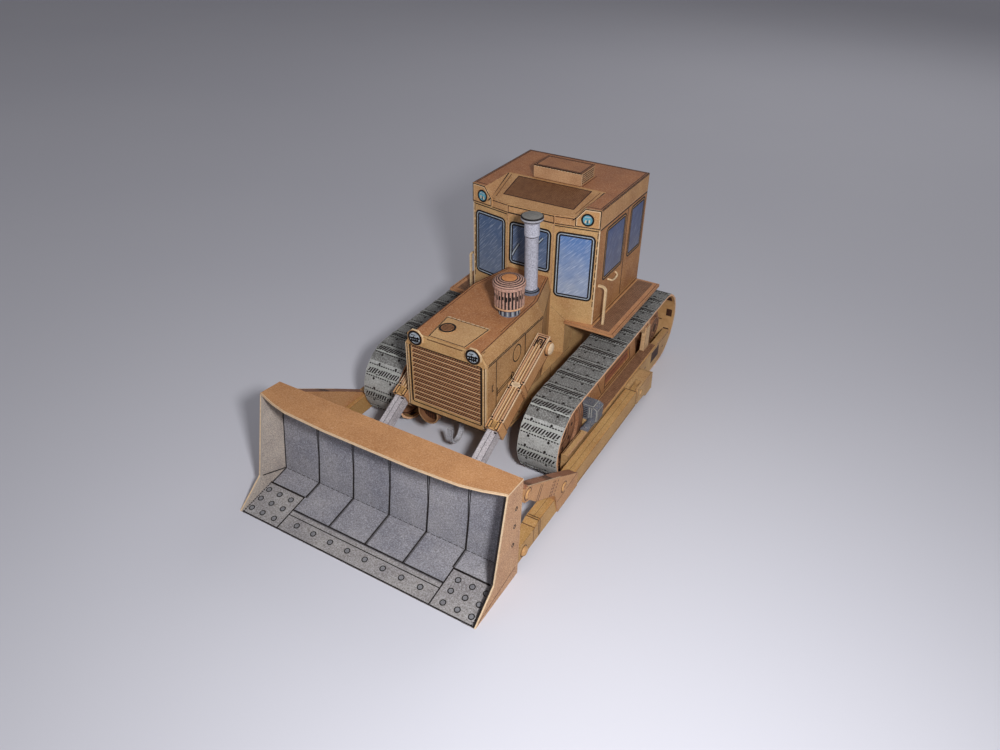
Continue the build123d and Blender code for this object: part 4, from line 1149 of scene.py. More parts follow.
@dataclass
class Underbody(Assembly):
    """The hull between the tracks, the sump nose, the towing hook, the drawbar and the cross beam."""

    hull_half: float = 22.0
    hull_rear_y: float = 101.0
    hull_seams: Rules = (
        (Ink.BROWN, 0.3, -20, 18, 92, 18),
        *((Ink.BROWN, 0.25, y, 18, y, 28) for y in (-18.0, 22.0, 62.0)),
    )
    nose_y: float = -43.5
    nose_middle: Flat = (-11.3, 26.4)
    nose_radius: float = 5.8
    nose_rim: float = 0.85
    nose_sunk: float = 3.0
    nose_top: float = 2.2

    def finishes(self) -> dict[str, Any]:
        """Gives the finish of each of its nodes."""
        return {
            "hull": ORANGE,
            "sump_nose": SUMP,
            "tow_hook": STEEL,
            "drawbar": STEEL,
            "cross_beam": DEEP_ORANGE,
        }

    def pieces(self) -> Iterator[Piece]:
        """Makes its added pieces."""
        yield printed("hull_print", Body.TRACTOR.value, Slot.ORANGE, self._print_hull, self._print_nose)

    def _print_hull(self, marks: Marks) -> None:
        """Prints the hull's seams and bolts, and the plate at its rear.

        Args:
            marks: The marks to add to.
        """
        for side in Side:
            face = Panel.side(self.hull_half, side.value)
            marks.rules(face, self.hull_seams)
            marks.spots(face, [(y, 20.5) for y in steps(-12.0, 12.0, 9)], 0.6, Ink.UMBER, 12)
        rear = Panel.wall((0, self.hull_rear_y), (-1, self.hull_rear_y))
        marks.line(rear, rounded_box((0, 37.5), 34, 13, 2), 0.4, Ink.BROWN, closed=True)
        marks.spots(rear, [(x, z) for x in (-14.0, 14.0) for z in (33.5, 41.5)], 0.8, Ink.UMBER, 16)

    def _print_nose(self, marks: Marks) -> None:
        """Prints the sunk face of the sump nose: painted shade over its hollow and printed brown hatching.

        Args:
            marks: The marks to add to.
        """
        face = Panel.front(self.nose_y + self.nose_sunk).moved(*self.nose_middle)
        inner = self.nose_radius - self.nose_rim
        bowl = round_points((0, 0), -inner, -inner, 32)[:17]
        # The dark fill over the hollow is painted shade.
        marks.block(face, [*bowl, (inner, self.nose_top), (-inner, self.nose_top)], Ink.UMBER)
        for x in steps(-4.1, 1.25, 7):
            deep = math.sqrt(max(inner * inner - x * x, 0.1))
            marks.line(face, ((x, 0.4 - deep), (x + 0.6, self.nose_top - 0.2)), 0.3, Ink.BROWN, proud=0.09)


@dataclass
class Hood(Assembly):
    """The hood with its grille, headlights, filler panel, air cleaner and exhaust."""

    front_y: float = -44.0
    hood_front_y: float = -42.4
    kink_y: float = 10.5
    cab_y: float = 35.1
    half: float = 22.0
    top_half: float = 18.3
    waist_half: float = 13.2
    side_z: float = 64.5
    top_z: float = 70.3
    rise: float = 2.3 / 79.1
    side_rules: Rules = (
        (Ink.BLACK, 0.45, -42.0, 64.1, 10.5, 64.1),
        (Ink.BLACK, 0.4, -35, 63.9, -35, 29.2),
        (Ink.BLACK, 0.55, -7.7, 63.9, -7.7, 52.5),
        (Ink.BROWN, 0.28, -7.7, 52.5, -7.7, 47.2, -11.8, 43.0),
        (Ink.BLACK, 0.4, -33.6, 46.2, -20.6, 47.8),
        (Ink.BLACK, 0.4, -33.6, 44.9, -20.6, 46.5),
        (Ink.BLACK, 0.5, -34, 48.6, -34, 43.6),
        (Ink.BLACK, 0.5, -20.4, 49.6, -20.4, 44.9, -19.0, 44.9),
        (Ink.BLACK, 0.5, -37.6, 52.2, -38.6, 52.0, -38.6, 49.0, -37.4, 49.0),
        (Ink.BROWN, 0.3, 10.1, 64, 10.1, 29),
    )
    waist_rules: Rules = (
        (Ink.BLACK, 0.45, 0.3, 64.2, 25.6, 66.0),
        (Ink.BROWN, 0.3, 0.6, 31.0, 25.4, 31.0),
        (Ink.BLACK, 0.35, 13.0, 65.0, 13.0, 31.4),
    )
    top_rules: Rules = (
        (Ink.BROWN, 0.3, 18.0, 0.8, 18.0, 52.9),
        (Ink.BROWN, 0.25, 16.8, 20.0, 16.8, 51.9, 10.6, 76.6),
        (Ink.BROWN, 0.3, 18.0, 52.9, 11.6, 76.9),
    )
    filler_rules: Rules = (
        (Ink.BLACK, 0.3, -11.3, 18, -9.5, 0.3, 9.5, 0.3, 11.3, 18),
        (Ink.UMBER, 0.35, -11.4, 18.1, 11.4, 18.1),
    )
    frame_rules: Rules = (
        (Ink.BLACK, 0.45, -22, 28.95, 22, 28.95),
        (Ink.BLACK, 0.4, -19.2, 31.7, 19.2, 31.7),
        (Ink.BLACK, 0.3, -19.2, 64.5, 19.2, 64.5),
        (Ink.BROWN, 0.3, -9.6, 69.9, 9.6, 69.9),
    )
    # The wide black line at each side of the opening is painted shadow; the cream and thin black lines are print.
    frame_side_rules: Rules = (
        (Ink.BLACK, 0.75, 19.5, 32.0, 19.5, 64.2),
        (Ink.CREAM, 0.35, 21.8, 29.0, 21.8, 64.5),
        (Ink.BLACK, 0.24, 21.2, 29.4, 21.2, 64.4),
    )
    lens_rules: Rules = (
        (Ink.BLACK, 0.75, -2.7, -0.3, 2.7, 0.2),
        (Ink.BLACK, 0.7, -2.3, -1.6, 2.2, -1.2),
        (Ink.BLACK, 0.6, -1.7, 0.1, -1.5, -2.1),
        (Ink.BLACK, 0.5, -0.5, 0.9, -0.4, -2.4),
        (Ink.BLACK, 0.6, 0.7, 0.4, 0.6, -2.4),
        (Ink.BLACK, 0.6, 1.8, 0.9, 1.6, -1.9),
        (Ink.BLACK, 0.35, -1.9, 1.3, 0.4, 1.6),
    )
    opening_half: float = 19.2
    opening_low_z: float = 32.0
    opening_high_z: float = 64.2
    louvres: int = 12
    louvre_back: float = 0.4
    louvre_proud: float = 0.9
    louvre_share: float = 0.68
    headlight: Flat = (15.6, 69.2)
    cap: Flat = (-5.6, 9.6)
    cap_radius: float = 4.2
    cleaner: Flat = (11.3, -5.0)
    cleaner_profile: tuple[Band, ...] = (
        (0, 0, Ink.UMBER), (5.2, 0, Ink.UMBER), (5.2, 3.3, Ink.SLATE), (6.9, 4.0, Ink.BLACK),
        (7.35, 4.5, Ink.ROSE), (7.1, 5.2, Ink.PEACH), (6.9, 5.6, Ink.BLACK), (6.9, 14.4, Ink.BLACK),
        (7.5, 14.6, Ink.BLACK), (7.9, 15.0, Ink.BLACK), (7.9, 16.6, Ink.ROSE), (7.85, 16.9, Ink.BLACK),
        (7.4, 17.4, Ink.ROSE), (7.0, 17.7, Ink.BLACK), (6.4, 17.9, Ink.ROSE), (5.9, 18.1, Ink.BLACK),
        (5.3, 18.3, Ink.ROSE), (4.7, 18.4, Ink.BLACK), (4.1, 18.5, Ink.ROSE), (3.6, 18.6, Ink.BLACK),
        (0, 18.6, Ink.AMBER),
    )
    slats: int = 26
    drum_radius: float = 6.9
    neck_radius: float = 5.2
    exhaust: Flat = (10.9, 17.2)
    exhaust_profile: tuple[Band, ...] = (
        (0, 0, Ink.SLATE), (4.4, 0, Ink.SLATE), (4.4, 1.4, Ink.SLATE), (3.9, 1.8, Ink.BLACK),
        (3.4, 2.0, Ink.SLATE), (3.4, 2.5, Ink.BLACK), (3.3, 2.6, Ink.SILVER), (3.3, 30.6, Ink.PIPE),
        (3.36, 30.7, Ink.BLACK), (3.36, 31.0, Ink.BLACK), (3.7, 31.2, Ink.SILVER), (3.7, 37.6, Ink.PIPE),
        (5.3, 39.0, Ink.PIPE), (5.5, 39.4, Ink.BLACK), (5.5, 40.3, Ink.SILVER), (5.4, 40.8, Ink.BLACK),
        (4.9, 41.0, Ink.BLACK), (0, 40.9, Ink.LID),
    )

    def finishes(self) -> dict[str, Any]:
        """Gives the finish of each of its nodes."""
        return {
            "hood": HOOD_ORANGE_SHADED_TOP,
            "radiator_frame": ORANGE,
            "radiator_louvres": SLATS,
            "headlights": HEADLIGHT,
            "filler_panel": FILLER,
            "air_cleaner": RUST,
            "exhaust": STEEL,
            "trunnions": STEEL,
        }

    def pieces(self) -> Iterator[Piece]:
        """Makes its added pieces."""
        body = Body.TRACTOR.value
        yield printed("hood_side_print", body, Slot.ORANGE, self._print_sides)
        yield printed("hood_top_print", body, Slot.TAN, self._print_top)
        yield printed("grille_print", body, Slot.RUST, self._print_grille, self._print_frame)
        yield printed("headlight_lenses", body, Slot.LAMP, self._print_headlights)
        drum = turned("air_cleaner_body", self.top_panel(*self.cleaner), self.cleaner_profile)
        yield Piece(drum, body, Slot.RUST, ("air_cleaner",))
        yield printed("air_cleaner_slats", body, Slot.CREAM, self._print_slats)
        pipe = turned("exhaust_pipe", self.top_panel(*self.exhaust), self.exhaust_profile)
        yield Piece(pipe, body, Slot.STEEL, ("exhaust",))

    def top_panel(self, x: float, y: float, proud: float = 0.0) -> Panel:
        """Gives the hood's sloping top, measured from a point on it.

        Args:
            x: The point's x.
            y: The point's y.
            proud: How far the panel stands over the top.

        Returns:
            The panel.
        """
        up = Vector((0, 1, self.rise)).normalized()
        out = Vector((0, -self.rise, 1)).normalized()
        z = self.top_z + self.rise * (y - self.front_y)
        return Panel(Vector((x, y, z)), ACROSS, up, out).moved(out=proud)

    def _print_sides(self, marks: Marks) -> None:
        """Prints the hood's side walls, the waist behind them and the slope above them.

        Args:
            marks: The marks to add to.
        """
        for side in Side:
            sign = side.value
            face = Panel.side(self.half, sign)
            marks.rules(face, self.side_rules)
            marks.ring(face, (-15.8, 57.6), 4.3, 0.62, Ink.BLACK, flat=0.86)
            marks.ring(face, (-15.8, 57.6), 3.7, 0.2, Ink.STRAW, flat=0.84)
            marks.ring(face, (-19.8, 47.4), 1.5, 0.4, Ink.BLACK, flat=0.7)
            waist = Panel.wall((sign * self.half, self.kink_y), (sign * self.waist_half, self.cab_y), sign)
            marks.rules(waist, self.waist_rules)
            low = Vector((sign * self.half, self.hood_front_y, self.side_z))
            high = Vector((sign * self.top_half, self.hood_front_y, self.top_z + self.rise * 1.6))
            up = (high - low).normalized()
            shoulder = Panel(low, REARWARD, up, Vector((sign * up.z, 0, -sign * up.x)))
            marks.dashes(shoulder, (1.0, 0.35), (52.5, 0.35), 0.24, 6.4, 0.5, Ink.BLACK)
            marks.line(shoulder, ((1.0, 6.4), (52.5, 6.4)), 0.22, Ink.UMBER)

    def _print_top(self, marks: Marks) -> None:
        """Prints the hood's top, the filler panel and its cap.

        Args:
            marks: The marks to add to.
        """
        for sign in (1, -1):
            marks.rules(self.top_panel(0, self.hood_front_y), self.top_rules, sign)
        panel = self.top_panel(0, self.hood_front_y, 0.5)
        marks.rules(panel, self.filler_rules)
        marks.dashes(panel, (-11.2, 18.5), (11.2, 18.5), 0.75, 1.6, 1.0, Ink.CREAM)
        cap = self.top_panel(0, self.hood_front_y, 1.0).moved(*self.cap)
        marks.disc(cap, (0, 0), self.cap_radius - 0.1, Ink.BLACK, 40)
        marks.disc(cap, (0, 0), self.cap_radius - 1.15, Ink.MESH, 36, proud=0.09)
        for high in steps(-2.1, 1.05, 5):
            wide = math.sqrt((self.cap_radius - 1.5) ** 2 - high * high)
            marks.line(cap, ((-wide, high - 0.1), (wide, high + 0.2)), 0.32, Ink.UMBER, proud=0.13)

    def _print_grille(self, marks: Marks) -> None:
        """Prints the louvres' hatching and the shadows between them.

        Args:
            marks: The marks to add to.
        """
        pitch = (self.opening_high_z - self.opening_low_z) / self.louvres
        back_y = self.hood_front_y - self.louvre_back
        half, share = self.opening_half - 0.35, self.louvre_share
        for foot in steps(self.opening_low_z + 0.25 * pitch, pitch, self.louvres):
            slope = Panel.sloping((back_y - self.louvre_proud, foot + 0.2), (back_y, foot + share * pitch))
            long = math.hypot(self.louvre_proud, share * pitch - 0.2)
            marks.box(slope, (-half, 0.55), (half, long), Ink.MESH, proud=0.03)
            marks.hatch(slope, (-half, 0.62), (half, long), 1.3, 0.64, 1.1, Ink.UMBER)
            marks.line(slope, ((-half, 0.5), (half, 0.5)), 0.26, Ink.UMBER)
            marks.box(Panel.front(back_y), (-half, foot - 0.34 * pitch), (half, foot + 0.1), Ink.UMBER)

    def _print_frame(self, marks: Marks) -> None:
        """Prints the frame round the louvres.

        Args:
            marks: The marks to add to.
        """
        frame = Panel.front(self.front_y)
        marks.rules(frame, self.frame_rules)
        for sign in (1, -1):
            marks.rules(frame, self.frame_side_rules, sign)
            marks.dashes(frame, (sign * 20.7, 30.0), (sign * 20.7, 64.0), 0.2, 1.1, 0.7, Ink.CREAM)

    def _print_headlights(self, marks: Marks) -> None:
        """Prints the headlights' lenses.

        Args:
            marks: The marks to add to.
        """
        for side in Side:
            lens = Panel.front(self.front_y - 1.0).moved(side.value * self.headlight[0], self.headlight[1])
            marks.disc(lens, (0, 0), 3.9, Ink.BLACK, 17)
            marks.disc(lens, (0, 0), 2.8, Ink.SKY, 36, proud=0.1)
            marks.rules(lens, self.lens_rules, proud=0.15)

    def _print_slats(self, marks: Marks) -> None:
        """Makes the slats round the air cleaner's drum and its neck.

        Args:
            marks: The marks to add to.
        """
        seat = self.top_panel(*self.cleaner)
        for slat in range(self.slats):
            turn = 2 * math.pi * slat / self.slats
            across = seat.along * -math.sin(turn) + seat.up * math.cos(turn)
            out = seat.along * math.cos(turn) + seat.up * math.sin(turn)
            drum = Panel(seat.origin + out * self.drum_radius, across, seat.out, out)
            for low, high in ((5.4, 11.4), (11.4, 14.5)):
                marks.box(drum, (-0.42, low), (0.42, high), Ink.ROSE, proud=0.35)
            marks.box(drum, (-0.42, 9.4 + slat % 3 * 0.5), (0.2, 12.0), Ink.BLACK, proud=0.42, sunk=-0.3)
            neck = drum.moved(out=self.neck_radius - self.drum_radius)
            marks.box(neck, (-0.28, 0.5), (0.28, 2.9), Ink.PALE if slat % 2 else Ink.BLACK, proud=0.1)


@dataclass(frozen=True)
class Window:
    """A printed window of the cab, its middle measured along its wall and by height."""

    wall: str
    middle: Flat
    wide: float
    high: float
    pane: Ink


@dataclass
class Cab(Assembly):
    """The cab with its cowl, floor plate, roof, lamps and rails."""

    half: float = 36.3
    waist_half: float = 13.2
    front_y: float = 35.1
    corner_y: float = 39.4
    rear_y: float = 101.0
    plate_z: float = 49.4
    roof_z: float = 112.6
    hatch_low: Flat = (33.1, 106.8)
    hatch_rear_y: float = 61.5
    hatch_mesh: tuple[float, float, float] = (9.3, 27.6, 19.8)
    hatch_flare: float = 1.2
    box_half: float = 13.8
    box_front_y: float = 63.0
    box_rear_y: float = 79.4
    box_z: float = 119.3
    lens: Flat = (16.8, 107.0)
    windows: tuple[Window, ...] = (
        Window("front_right", (12.0, 80.8), 20.6, 36.0, Ink.PANE_DIM),
        Window("front", (13.2, 86.7), 24.2, 23.8, Ink.PANE_DIM),
        Window("front_left", (11.5, 80.8), 20.4, 36.4, Ink.PANE_FRONT),
        Window("side_left", (20.6, 86.0), 26.0, 29.4, Ink.PANE_SIDE),
        Window("side_left", (49.4, 86.4), 20.0, 29.4, Ink.PANE_SIDE),
        Window("side_right", (41.0, 86.0), 26.0, 29.4, Ink.PANE_SIDE),
        Window("side_right", (12.2, 86.4), 20.0, 29.4, Ink.PANE_SIDE),
        Window("rear", (36.3, 85.0), 52.0, 27.0, Ink.PANE_DIM),
    )
    side_rules: Rules = (
        (Ink.STRAW, 0.35, 0.4, 51.2, 61.2, 51.2),
        (Ink.BROWN, 0.4, 0.4, 50.5, 61.2, 50.5),
        (Ink.BLACK, 0.6, 0.4, 102.3, 61.2, 102.3),
        (Ink.UMBER, 0.35, 0.3, 112.2, 61.3, 112.2),
        (Ink.PEACH, 0.3, 0.4, 103.3, 61.2, 103.3),
    )
    wall_rules: tuple[tuple[str, Rules], ...] = (
        ("side_left", ((Ink.BLACK, 0.5, 35.2, 51.6, 35.2, 102.6), *side_rules)),
        ("side_right", ((Ink.BLACK, 0.5, 26.4, 51.6, 26.4, 102.6), *side_rules)),
        ("front_left", ((Ink.BLACK, 0.4, 0.4, 101.6, 22.9, 101.6), (Ink.CREAM, 0.5, 23.1, 50, 23.1, 102))),
        ("front_right", ((Ink.BLACK, 0.4, 0.4, 101.6, 22.9, 101.6), (Ink.CREAM, 0.5, 0.35, 50, 0.35, 102))),
        ("front", (
            (Ink.PEACH, 0.3, 0.3, 57.0, 0.3, 102.0),
            (Ink.PEACH, 0.3, 26.1, 57.0, 26.1, 102.0),
            (Ink.BROWN, 0.3, 1.6, 75.2, 24.8, 75.2),
        )),
        ("rear", (
            (Ink.UMBER, 0.5, 0.4, 102.4, 72.2, 102.4),
            *((Ink.UMBER, 0.4, 12, z, 60.6, z) for z in steps(55.5, 1.8, 6)),
        )),
    )
    valance_rules: tuple[tuple[str, Rules], ...] = (
        ("front", (
            (Ink.BLACK, 0.4, 0.2, 106.2, 26.2, 106.2),
            (Ink.BLACK, 0.55, 0.2, 102.6, 26.2, 102.6),
            (Ink.BROWN, 0.3, 0.3, 102.8, 0.3, 106.2),
            (Ink.BROWN, 0.3, 26.1, 102.8, 26.1, 106.2),
        )),
        ("front_left", (
            (Ink.UMBER, 0.4, 0.3, 102.6, 10.6, 102.6),
            (Ink.UMBER, 0.35, 0.3, 106.3, 10.6, 106.3),
            (Ink.BROWN, 0.3, 10.6, 102.6, 10.6, 106.2),
        )),
        ("front_right", (
            (Ink.UMBER, 0.4, 12.9, 102.6, 23.2, 102.6),
            (Ink.UMBER, 0.35, 12.9, 106.3, 23.2, 106.3),
            (Ink.BROWN, 0.3, 12.9, 102.6, 12.9, 106.2),
        )),
    )
    floor_rules: Rules = (
        (Ink.BROWN, 0.25, 48.9, 36.0, 48.9, 101.2),
        (Ink.STRAW, 0.3, 36.9, 39.6, 36.9, 101.0),
    )
    floor_mesh: Rules = (
        *((Ink.UMBER, 0.08, x, 37.6, x, 100.1) for x in steps(37.7, 0.77, 12)),
        *((Ink.UMBER, 0.08, 37.4, y, 46.4, y) for y in steps(37.9, 0.9, 70)),
    )
    roof_rules: Rules = (
        (Ink.UMBER, 0.45, -28.6, 40.3, -35.0, 40.7, -35.0, 99.7, 35.0, 99.7, 35.0, 40.7, 28.6, 40.3),
        (Ink.BLACK, 0.35, 36.0, 39.7, 36.0, 100.7),
        (Ink.BLACK, 0.35, 36.0, 100.7, -36.0, 100.7),
        (Ink.BLACK, 0.35, -36.0, 100.7, -36.0, 39.7),
        (Ink.STRAW, 0.3, -28.0, 61.8, 28.0, 61.8),
        (Ink.BROWN, 0.3, -13.8, 62.5, 13.8, 62.5),
        (Ink.BROWN, 0.3, 14.4, 63.0, 14.4, 81.4),
        (Ink.BROWN, 0.3, -14.4, 63.0, -14.4, 81.4),
    )
    hatch_rules: Rules = (
        (Ink.BLACK, 0.5, 23.9, 1.0, 27.6, 28.6),
        (Ink.BROWN, 0.25, 22.4, 6.0, 25.6, 28.0),
    )
    lens_rules: Rules = (
        (Ink.CREAM, 0.6, -0.8, -0.1, -1.1, -1.6),
        (Ink.CREAM, 0.5, 0.9, 0.2, 0.9, -1.4),
        (Ink.BLACK, 0.3, -0.2, -1.9, 0.1, -0.1),
        (Ink.SKY, 0.35, -1.4, 1.4, 1.6, 1.6),
    )
    lamp_plate: tuple[Flat, ...] = ((10.9, 103.1), (23.2, 103.1), (23.2, 112.3), (15.3, 112.3), (10.9, 107.0))
    lamp_rules: Rules = ((Ink.CREAM, 0.2, 22.7, 103.6, 22.7, 111.8, 15.6, 111.8, 11.4, 106.8, 11.4, 103.6),)
    wipers: tuple[tuple[Flat, ...], ...] = (
        ((3.2, 79.8), (4.4, 82.6), (7.0, 87.1)),
        ((14.9, 86.3), (20.6, 93.2)),
    )
    handle_thick: float = 1.0
    handle: tuple[tuple[float, float, float], ...] = (
        (35.9, 55.0, 69.6), (38.0, 55.3, 69.2), (38.3, 57.5, 68.2),
        (38.3, 62.0, 68.2), (38.0, 64.4, 69.2), (35.9, 64.8, 69.6),
    )

    def finishes(self) -> dict[str, Any]:
        """Gives the finish of each of its nodes."""
        walls = {f"cab_{name}": ORANGE for name in ("front", "front_right", "front_left", "rear", "cowl")}
        return {
            **walls,
            **both("cab_side", DEEP_ORANGE),
            "floor_plate": FLOOR,
            "cab_roof": ROOF,
            "roof_box": ROOF_BOX,
            "roof_lamps": LAMP_PLATE,
            **both("grab_rail", RAIL),
        }

    def walls(self) -> dict[str, Panel]:
        """Gives the face of each wall, measured from its first corner and by height.

        Returns:
            The walls' panels by their names.
        """
        corners = {
            "front_right": (-self.half, self.corner_y),
            "front": (-self.waist_half, self.front_y),
            "front_left": (self.waist_half, self.front_y),
            "side_left": (self.half, self.corner_y),
            "rear": (self.half, self.rear_y),
            "side_right": (-self.half, self.rear_y),
        }
        ends = [*corners.values()][1:] + [corners["front_right"]]
        return {name: Panel.wall(start, end) for (name, start), end in zip(corners.items(), ends)}

    def pieces(self) -> Iterator[Piece]:
        """Makes its added pieces."""
        body = Body.TRACTOR.value
        yield printed("cab_windows", body, Slot.LAMP, self._print_windows)
        yield printed("cab_print", body, Slot.ORANGE, self._print_walls, self._print_floor)
        yield printed("roof_print", body, Slot.TAN, self._print_roof, self._print_valance, self._print_box)
        for side in Side:
            yield Piece(self._handle(side), body, Slot.CREAM)
        yield printed("roof_lamp_lenses", body, Slot.LAMP, self._print_lamps)
        yield printed("wipers", body, Slot.STEEL, self._print_wipers)

    def _print_windows(self, marks: Marks) -> None:
        """Prints the windows: each pane, and a pale line between two dark ones round it.

        Args:
            marks: The marks to add to.
        """
        for window in self.windows:
            face = self.walls()[window.wall]
            pale = Ink.BOSS if window.wall.startswith("side") else Ink.SKY
            for inset, wide, ink, proud in (
                (0.48, 0.86, Ink.BLACK, 0.06),
                (1.22, 0.5, pale, 0.05),
                (1.85, 0.72, Ink.BLACK, 0.06),
            ):
                wider, higher = window.wide - 2 * inset, window.high - 2 * inset
                route = rounded_box(window.middle, wider, higher, 2.8 - inset)
                marks.line(face, route, wide, ink, closed=True, proud=proud, sunk=0.25)
            pane = rounded_box(window.middle, window.wide - 3.4, window.high - 3.4, 1.0)
            marks.block(face, pane, window.pane, proud=0.02, sunk=0.25)

    def _print_walls(self, marks: Marks) -> None:
        """Prints the seams of the walls and the doors.

        Args:
            marks: The marks to add to.
        """
        walls = self.walls()
        for name, rules in self.wall_rules:
            marks.rules(walls[name], rules)
        for name, x in (("front_left", 22.45), ("front_right", 1.0)):
            marks.dashes(walls[name], (x, 60.0), (x, 101.0), 0.3, 3.0, 1.2, Ink.BLACK)
        marks.line(walls["rear"], rounded_box((36.3, 60.0), 58, 14, 1.5, 3), 0.35, Ink.BROWN, closed=True)

    def _print_floor(self, marks: Marks) -> None:
        """Prints the dark walkways of the floor plate.

        Args:
            marks: The marks to add to.
        """
        top = Panel.top(self.plate_z)
        for sign in (1, -1):
            marks.box(top, (sign * 37.2, 37.4), (sign * 46.6, 100.4), Ink.WALKWAY)
            marks.rules(top, self.floor_rules, sign)
            marks.rules(top, self.floor_mesh, sign, proud=0.07)

    def _print_roof(self, marks: Marks) -> None:
        """Prints the roof's lines and the mesh on the hatch's slope.

        Args:
            marks: The marks to add to.
        """
        slope = Panel.sloping(self.hatch_low, (self.hatch_rear_y, self.roof_z))
        (low, high, half), flare = self.hatch_mesh, self.hatch_flare
        corners = ((-half, low), (half, low), (half + flare, high), (-half - flare, high))
        marks.block(slope, corners, Ink.MESH)
        marks.line(slope, corners, 0.4, Ink.UMBER, closed=True, proud=0.09)
        for reach in steps(low + 0.4, 0.76, 24):
            edge = half + (reach - low) * flare / (high - low) - 0.3
            marks.line(slope, ((-edge, reach), (edge, reach)), 0.1, Ink.UMBER, proud=0.07)
        for x in steps(-19.4, 0.776, 51):
            marks.line(slope, ((x, low + 0.1), (x * 1.06, high - 0.1)), 0.06, Ink.BROWN, proud=0.07)
        for sign in (1, -1):
            marks.rules(slope, self.hatch_rules, sign)
        marks.rules(Panel.top(self.roof_z), self.roof_rules)

    def _print_valance(self, marks: Marks) -> None:
        """Prints the strip between the hatch's edge and the windows.

        Args:
            marks: The marks to add to.
        """
        walls = self.walls()
        for name, rules in self.valance_rules:
            marks.rules(walls[name], rules)
        marks.hatch(walls["front"], (0.4, 101.8), (26.0, 102.3), 1.6, 0.8, 0.4, Ink.PEACH)
        marks.hatch(walls["front"], (0.4, 106.5), (26.0, 106.8), 1.8, 0.9, 0.3, Ink.STRAW)

    def _print_box(self, marks: Marks) -> None:
        """Prints the air box on the roof and its slots.

        Args:
            marks: The marks to add to.
        """
        middle = (0.0, (self.box_front_y + self.box_rear_y) / 2)
        for wide, high, thick, ink in ((25.4, 14.2, 0.45, Ink.UMBER), (27.1, 15.9, 0.4, Ink.BROWN)):
            route = rounded_box(middle, wide, high, 0.1, 1)
            marks.line(Panel.top(self.box_z), route, thick, ink, closed=True)
        front = Panel.front(self.box_front_y)
        marks.line(front, ((-13.6, 119.0), (13.6, 119.0)), 0.35, Ink.BLACK)
        marks.hatch(front, (-13.5, 118.5), (13.5, 118.9), 1.7, 0.9, 0.5, Ink.CREAM)
        for side in Side:
            face = Panel.side(self.box_half, side.value)
            for z in steps(113.75, 1.1, 5):
                marks.box(face, (64.3, z - 0.22), (78.1, z + 0.22), Ink.BLACK, proud=-0.26, sunk=0.4)
                marks.line(face, ((64.2, z + 0.42), (78.2, z + 0.42)), 0.1, Ink.CREAM)
            marks.line(face, ((63.3, 112.9), (63.3, 119.0)), 0.3, Ink.CREAM)

    def _print_lamps(self, marks: Marks) -> None:
        """Prints the lamps and the rims of their plates.

        Args:
            marks: The marks to add to.
        """
        for side in Side:
            sign = side.value
            start, end = (sign * self.waist_half, self.front_y), (sign * self.half, self.corner_y)
            face = Panel.wall(start, end, sign).moved(out=0.5)
            marks.line(face, self.lamp_plate, 0.35, Ink.BLACK, closed=True)
            marks.rules(face, self.lamp_rules)
            lens = face.moved(*self.lens)
            marks.disc(lens, (0, 0), 3.3, Ink.BLACK, 36)
            marks.disc(lens, (0, 0), 2.35, Ink.TEAL, 32, proud=0.1)
            marks.rules(lens, self.lens_rules, proud=0.14)

    def _print_wipers(self, marks: Marks) -> None:
        """Prints the two wipers of the middle window.

        Args:
            marks: The marks to add to.
        """
        for route in self.wipers:
            for wide, ink, proud in ((1.4, Ink.BLACK, 0.1), (0.6, Ink.SKY, 0.14)):
                marks.line(self.walls()["front"], route, wide, ink, proud=proud)

    def _handle(self, side: Side) -> bpy.types.Object:
        """Makes the door's bow handle.

        Args:
            side: The machine's side.

        Returns:
            The new object.
        """
        curve = bpy.data.curves.new(f"door_handle_{side.word}", "CURVE")
        curve.dimensions = "3D"
        curve.bevel_depth = self.handle_thick / 2 * MM
        curve.bevel_resolution = 3
        curve.resolution_u = 10
        curve.use_fill_caps = True
        spline = curve.splines.new("NURBS")
        spline.points.add(len(self.handle) - 1)
        for point, (x, y, z) in zip(spline.points, self.handle):
            point.co = (side.value * x * MM, y * MM, z * MM, 1.0)
        spline.order_u = 3
        spline.use_endpoint_u = True
        curve.materials.append(Shop.finish(RAIL))
        piece = bpy.data.objects.new(curve.name, curve)
        bpy.context.scene.collection.objects.link(piece)
        return piece


# ---- tracks --------------------------------------------------------------------


